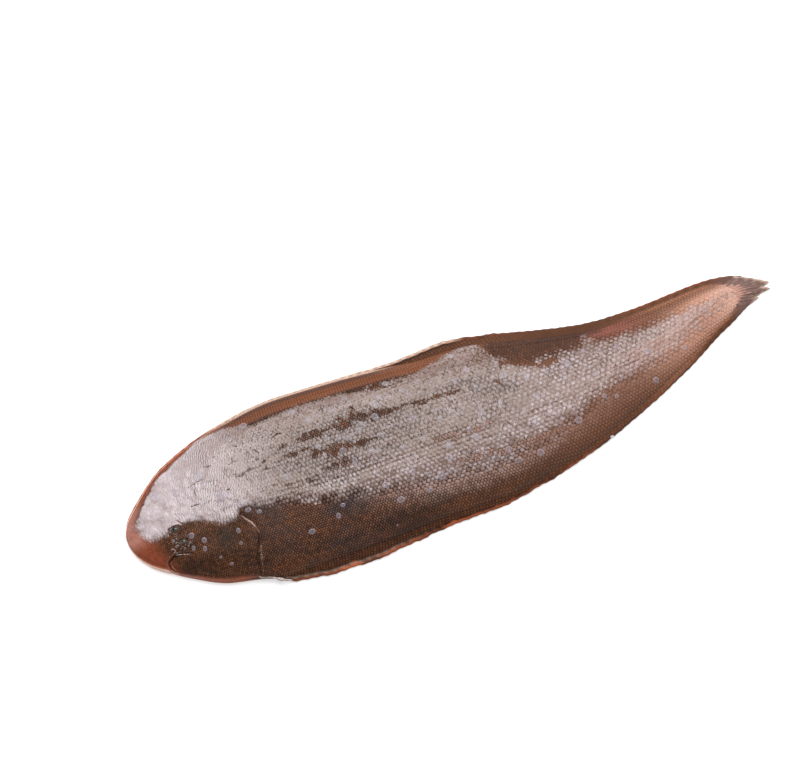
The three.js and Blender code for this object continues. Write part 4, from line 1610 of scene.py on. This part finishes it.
class MESH_OT_sole_drops(bpy.types.Operator):
    """Drops of water on the eyed side"""

    bl_idname = "mesh.sole_drops"
    bl_label = "Sole drops"

    def execute(self, context):
        look = settings().drops
        draw = np.random.default_rng(look.seed)
        drops = list(CHOSEN_DROPS)
        for _ in range(60 * look.count):
            if len(drops) >= look.count:
                break
            at = draw.uniform(8, 318)
            low, high = smooth(FILM_LOW, at), smooth(FILM_HIGH, at)
            across = low + draw.uniform(-0.08, 1.0) * (high - low)
            radius = look.smallest + (look.largest - look.smallest) * draw.beta(1.4, 2.2)
            crowd = 0.35 + 0.65 * ridge(at - 165, 85)
            if draw.uniform() > crowd:
                continue
            if all(math.hypot(at - a, across - c) > radius + r + 0.4 for a, c, r in drops):
                drops.append((at, float(across), radius))

        piece = flattened_balls("water_drops", drops, draw, above=0.25, below=0.12)
        shader = Shader("water")
        material = shader.finish(
            Base_Color=opaque(look.water),
            Roughness=0.14,
            IOR=1.55,
            # The drops' rims are more opaque than their crowns, standing in for the rings that refraction
            # draws.
            Alpha=(1 - shader.attribute("crown")) * 0.36 + 0.12,
        )
        piece.data.materials.append(material)
        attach(piece, BODY)
        return {"FINISHED"}


# ---- Stage ----------------------------------------------------------------------------------------

WHITE = (1, 1, 1, 1)


class SCENE_OT_sole_stage(bpy.types.Operator):
    """Plain pale floor, soft light from behind and all round, and the camera"""

    bl_idname = "scene.sole_stage"
    bl_label = "Sole stage"

    def execute(self, context):
        look = settings().stage
        deselect_all()
        bpy.ops.mesh.primitive_plane_add(size=4, location=(0, 0, -0.0001))
        floor = context.object
        floor.name = "floor"
        shader = Shader("floor")
        grain = shader.noise(shader.object_place(), 40, 2)
        floor.data.materials.append(
            shader.finish(
                Base_Color=shader.mix(look.floor, look.floor_grain, grain),
                Roughness=0.9,
                Emission_Color=WHITE,
                Emission_Strength=look.glow,
            )
        )

        camera = bpy.data.cameras.new("camera")
        camera.lens = look.lens
        camera.clip_start = 0.01
        context.scene.camera = self.hang(context, camera, look.turn, look.elevation, look.distance)

        # The softbox hangs on the far side of the fish, where the camera sees it mirrored.
        light = bpy.data.lights.new("softbox", "AREA")
        light.shape = "RECTANGLE"
        light.size, light.size_y = 1.25, 1.1
        light.energy = look.softbox
        self.hang(context, light, look.turn + math.pi, look.softbox_elevation, look.softbox_distance)

        world = bpy.data.worlds.new("room")
        world.use_nodes = True
        background = world.node_tree.nodes["Background"]
        background.inputs["Color"].default_value = WHITE
        background.inputs["Strength"].default_value = look.fill
        context.scene.world = world
        context.scene.view_settings.view_transform = "Standard"
        return {"FINISHED"}

    def hang(self, context, data, turn, elevation, distance):
        """Puts a camera or a light round the point that the picture aims at, looking at it."""
        level = math.cos(elevation)
        back = Vector((math.sin(turn) * level, -math.cos(turn) * level, math.sin(elevation)))
        hung = bpy.data.objects.new(data.name, data)
        hung.location = Vector(settings().stage.aim) + back * distance
        hung.rotation_euler = back.to_track_quat("Z", "Y").to_euler()
        context.collection.objects.link(hung)
        return hung


# ---- Panel and registration -----------------------------------------------------------------------


class VIEW3D_PT_sole(bpy.types.Panel):
    """Lists the sole's settings and the operators that build it"""

    bl_label = "Tongue sole"
    bl_space_type = "VIEW_3D"
    bl_region_type = "UI"
    bl_category = "Tongue sole"

    def draw(self, context):
        column = self.layout.column()
        groups = (settings().skin, settings().fins, settings().face, settings().drops, settings().stage)
        for group in groups:
            for name in group.__annotations__:
                column.prop(group, name)
        for operator in PIECES:
            column.operator(operator.bl_idname)


PIECES = (
    MESH_OT_sole_skin, MESH_OT_sole_fins, MESH_OT_sole_face, MESH_OT_sole_drops, SCENE_OT_sole_stage,
)
SETTINGS = (SoleSkinSettings, SoleFinSettings, SoleFaceSettings, SoleDropSettings, SoleStageSettings)
CLASSES = (*SETTINGS, SoleSettings, *PIECES, VIEW3D_PT_sole)


def register():
    for cls in CLASSES:
        bpy.utils.register_class(cls)
    bpy.types.Scene.sole_settings = bpy.props.PointerProperty(type=SoleSettings)


def unregister():
    del bpy.types.Scene.sole_settings
    for cls in reversed(CLASSES):
        bpy.utils.unregister_class(cls)


def main():
    register()
    bpy.ops.mesh.sole_skin()
    bpy.ops.mesh.sole_fins()
    bpy.ops.mesh.sole_face()
    bpy.ops.mesh.sole_drops()
    bpy.ops.scene.sole_stage()


if __name__ == "__main__":
    main()
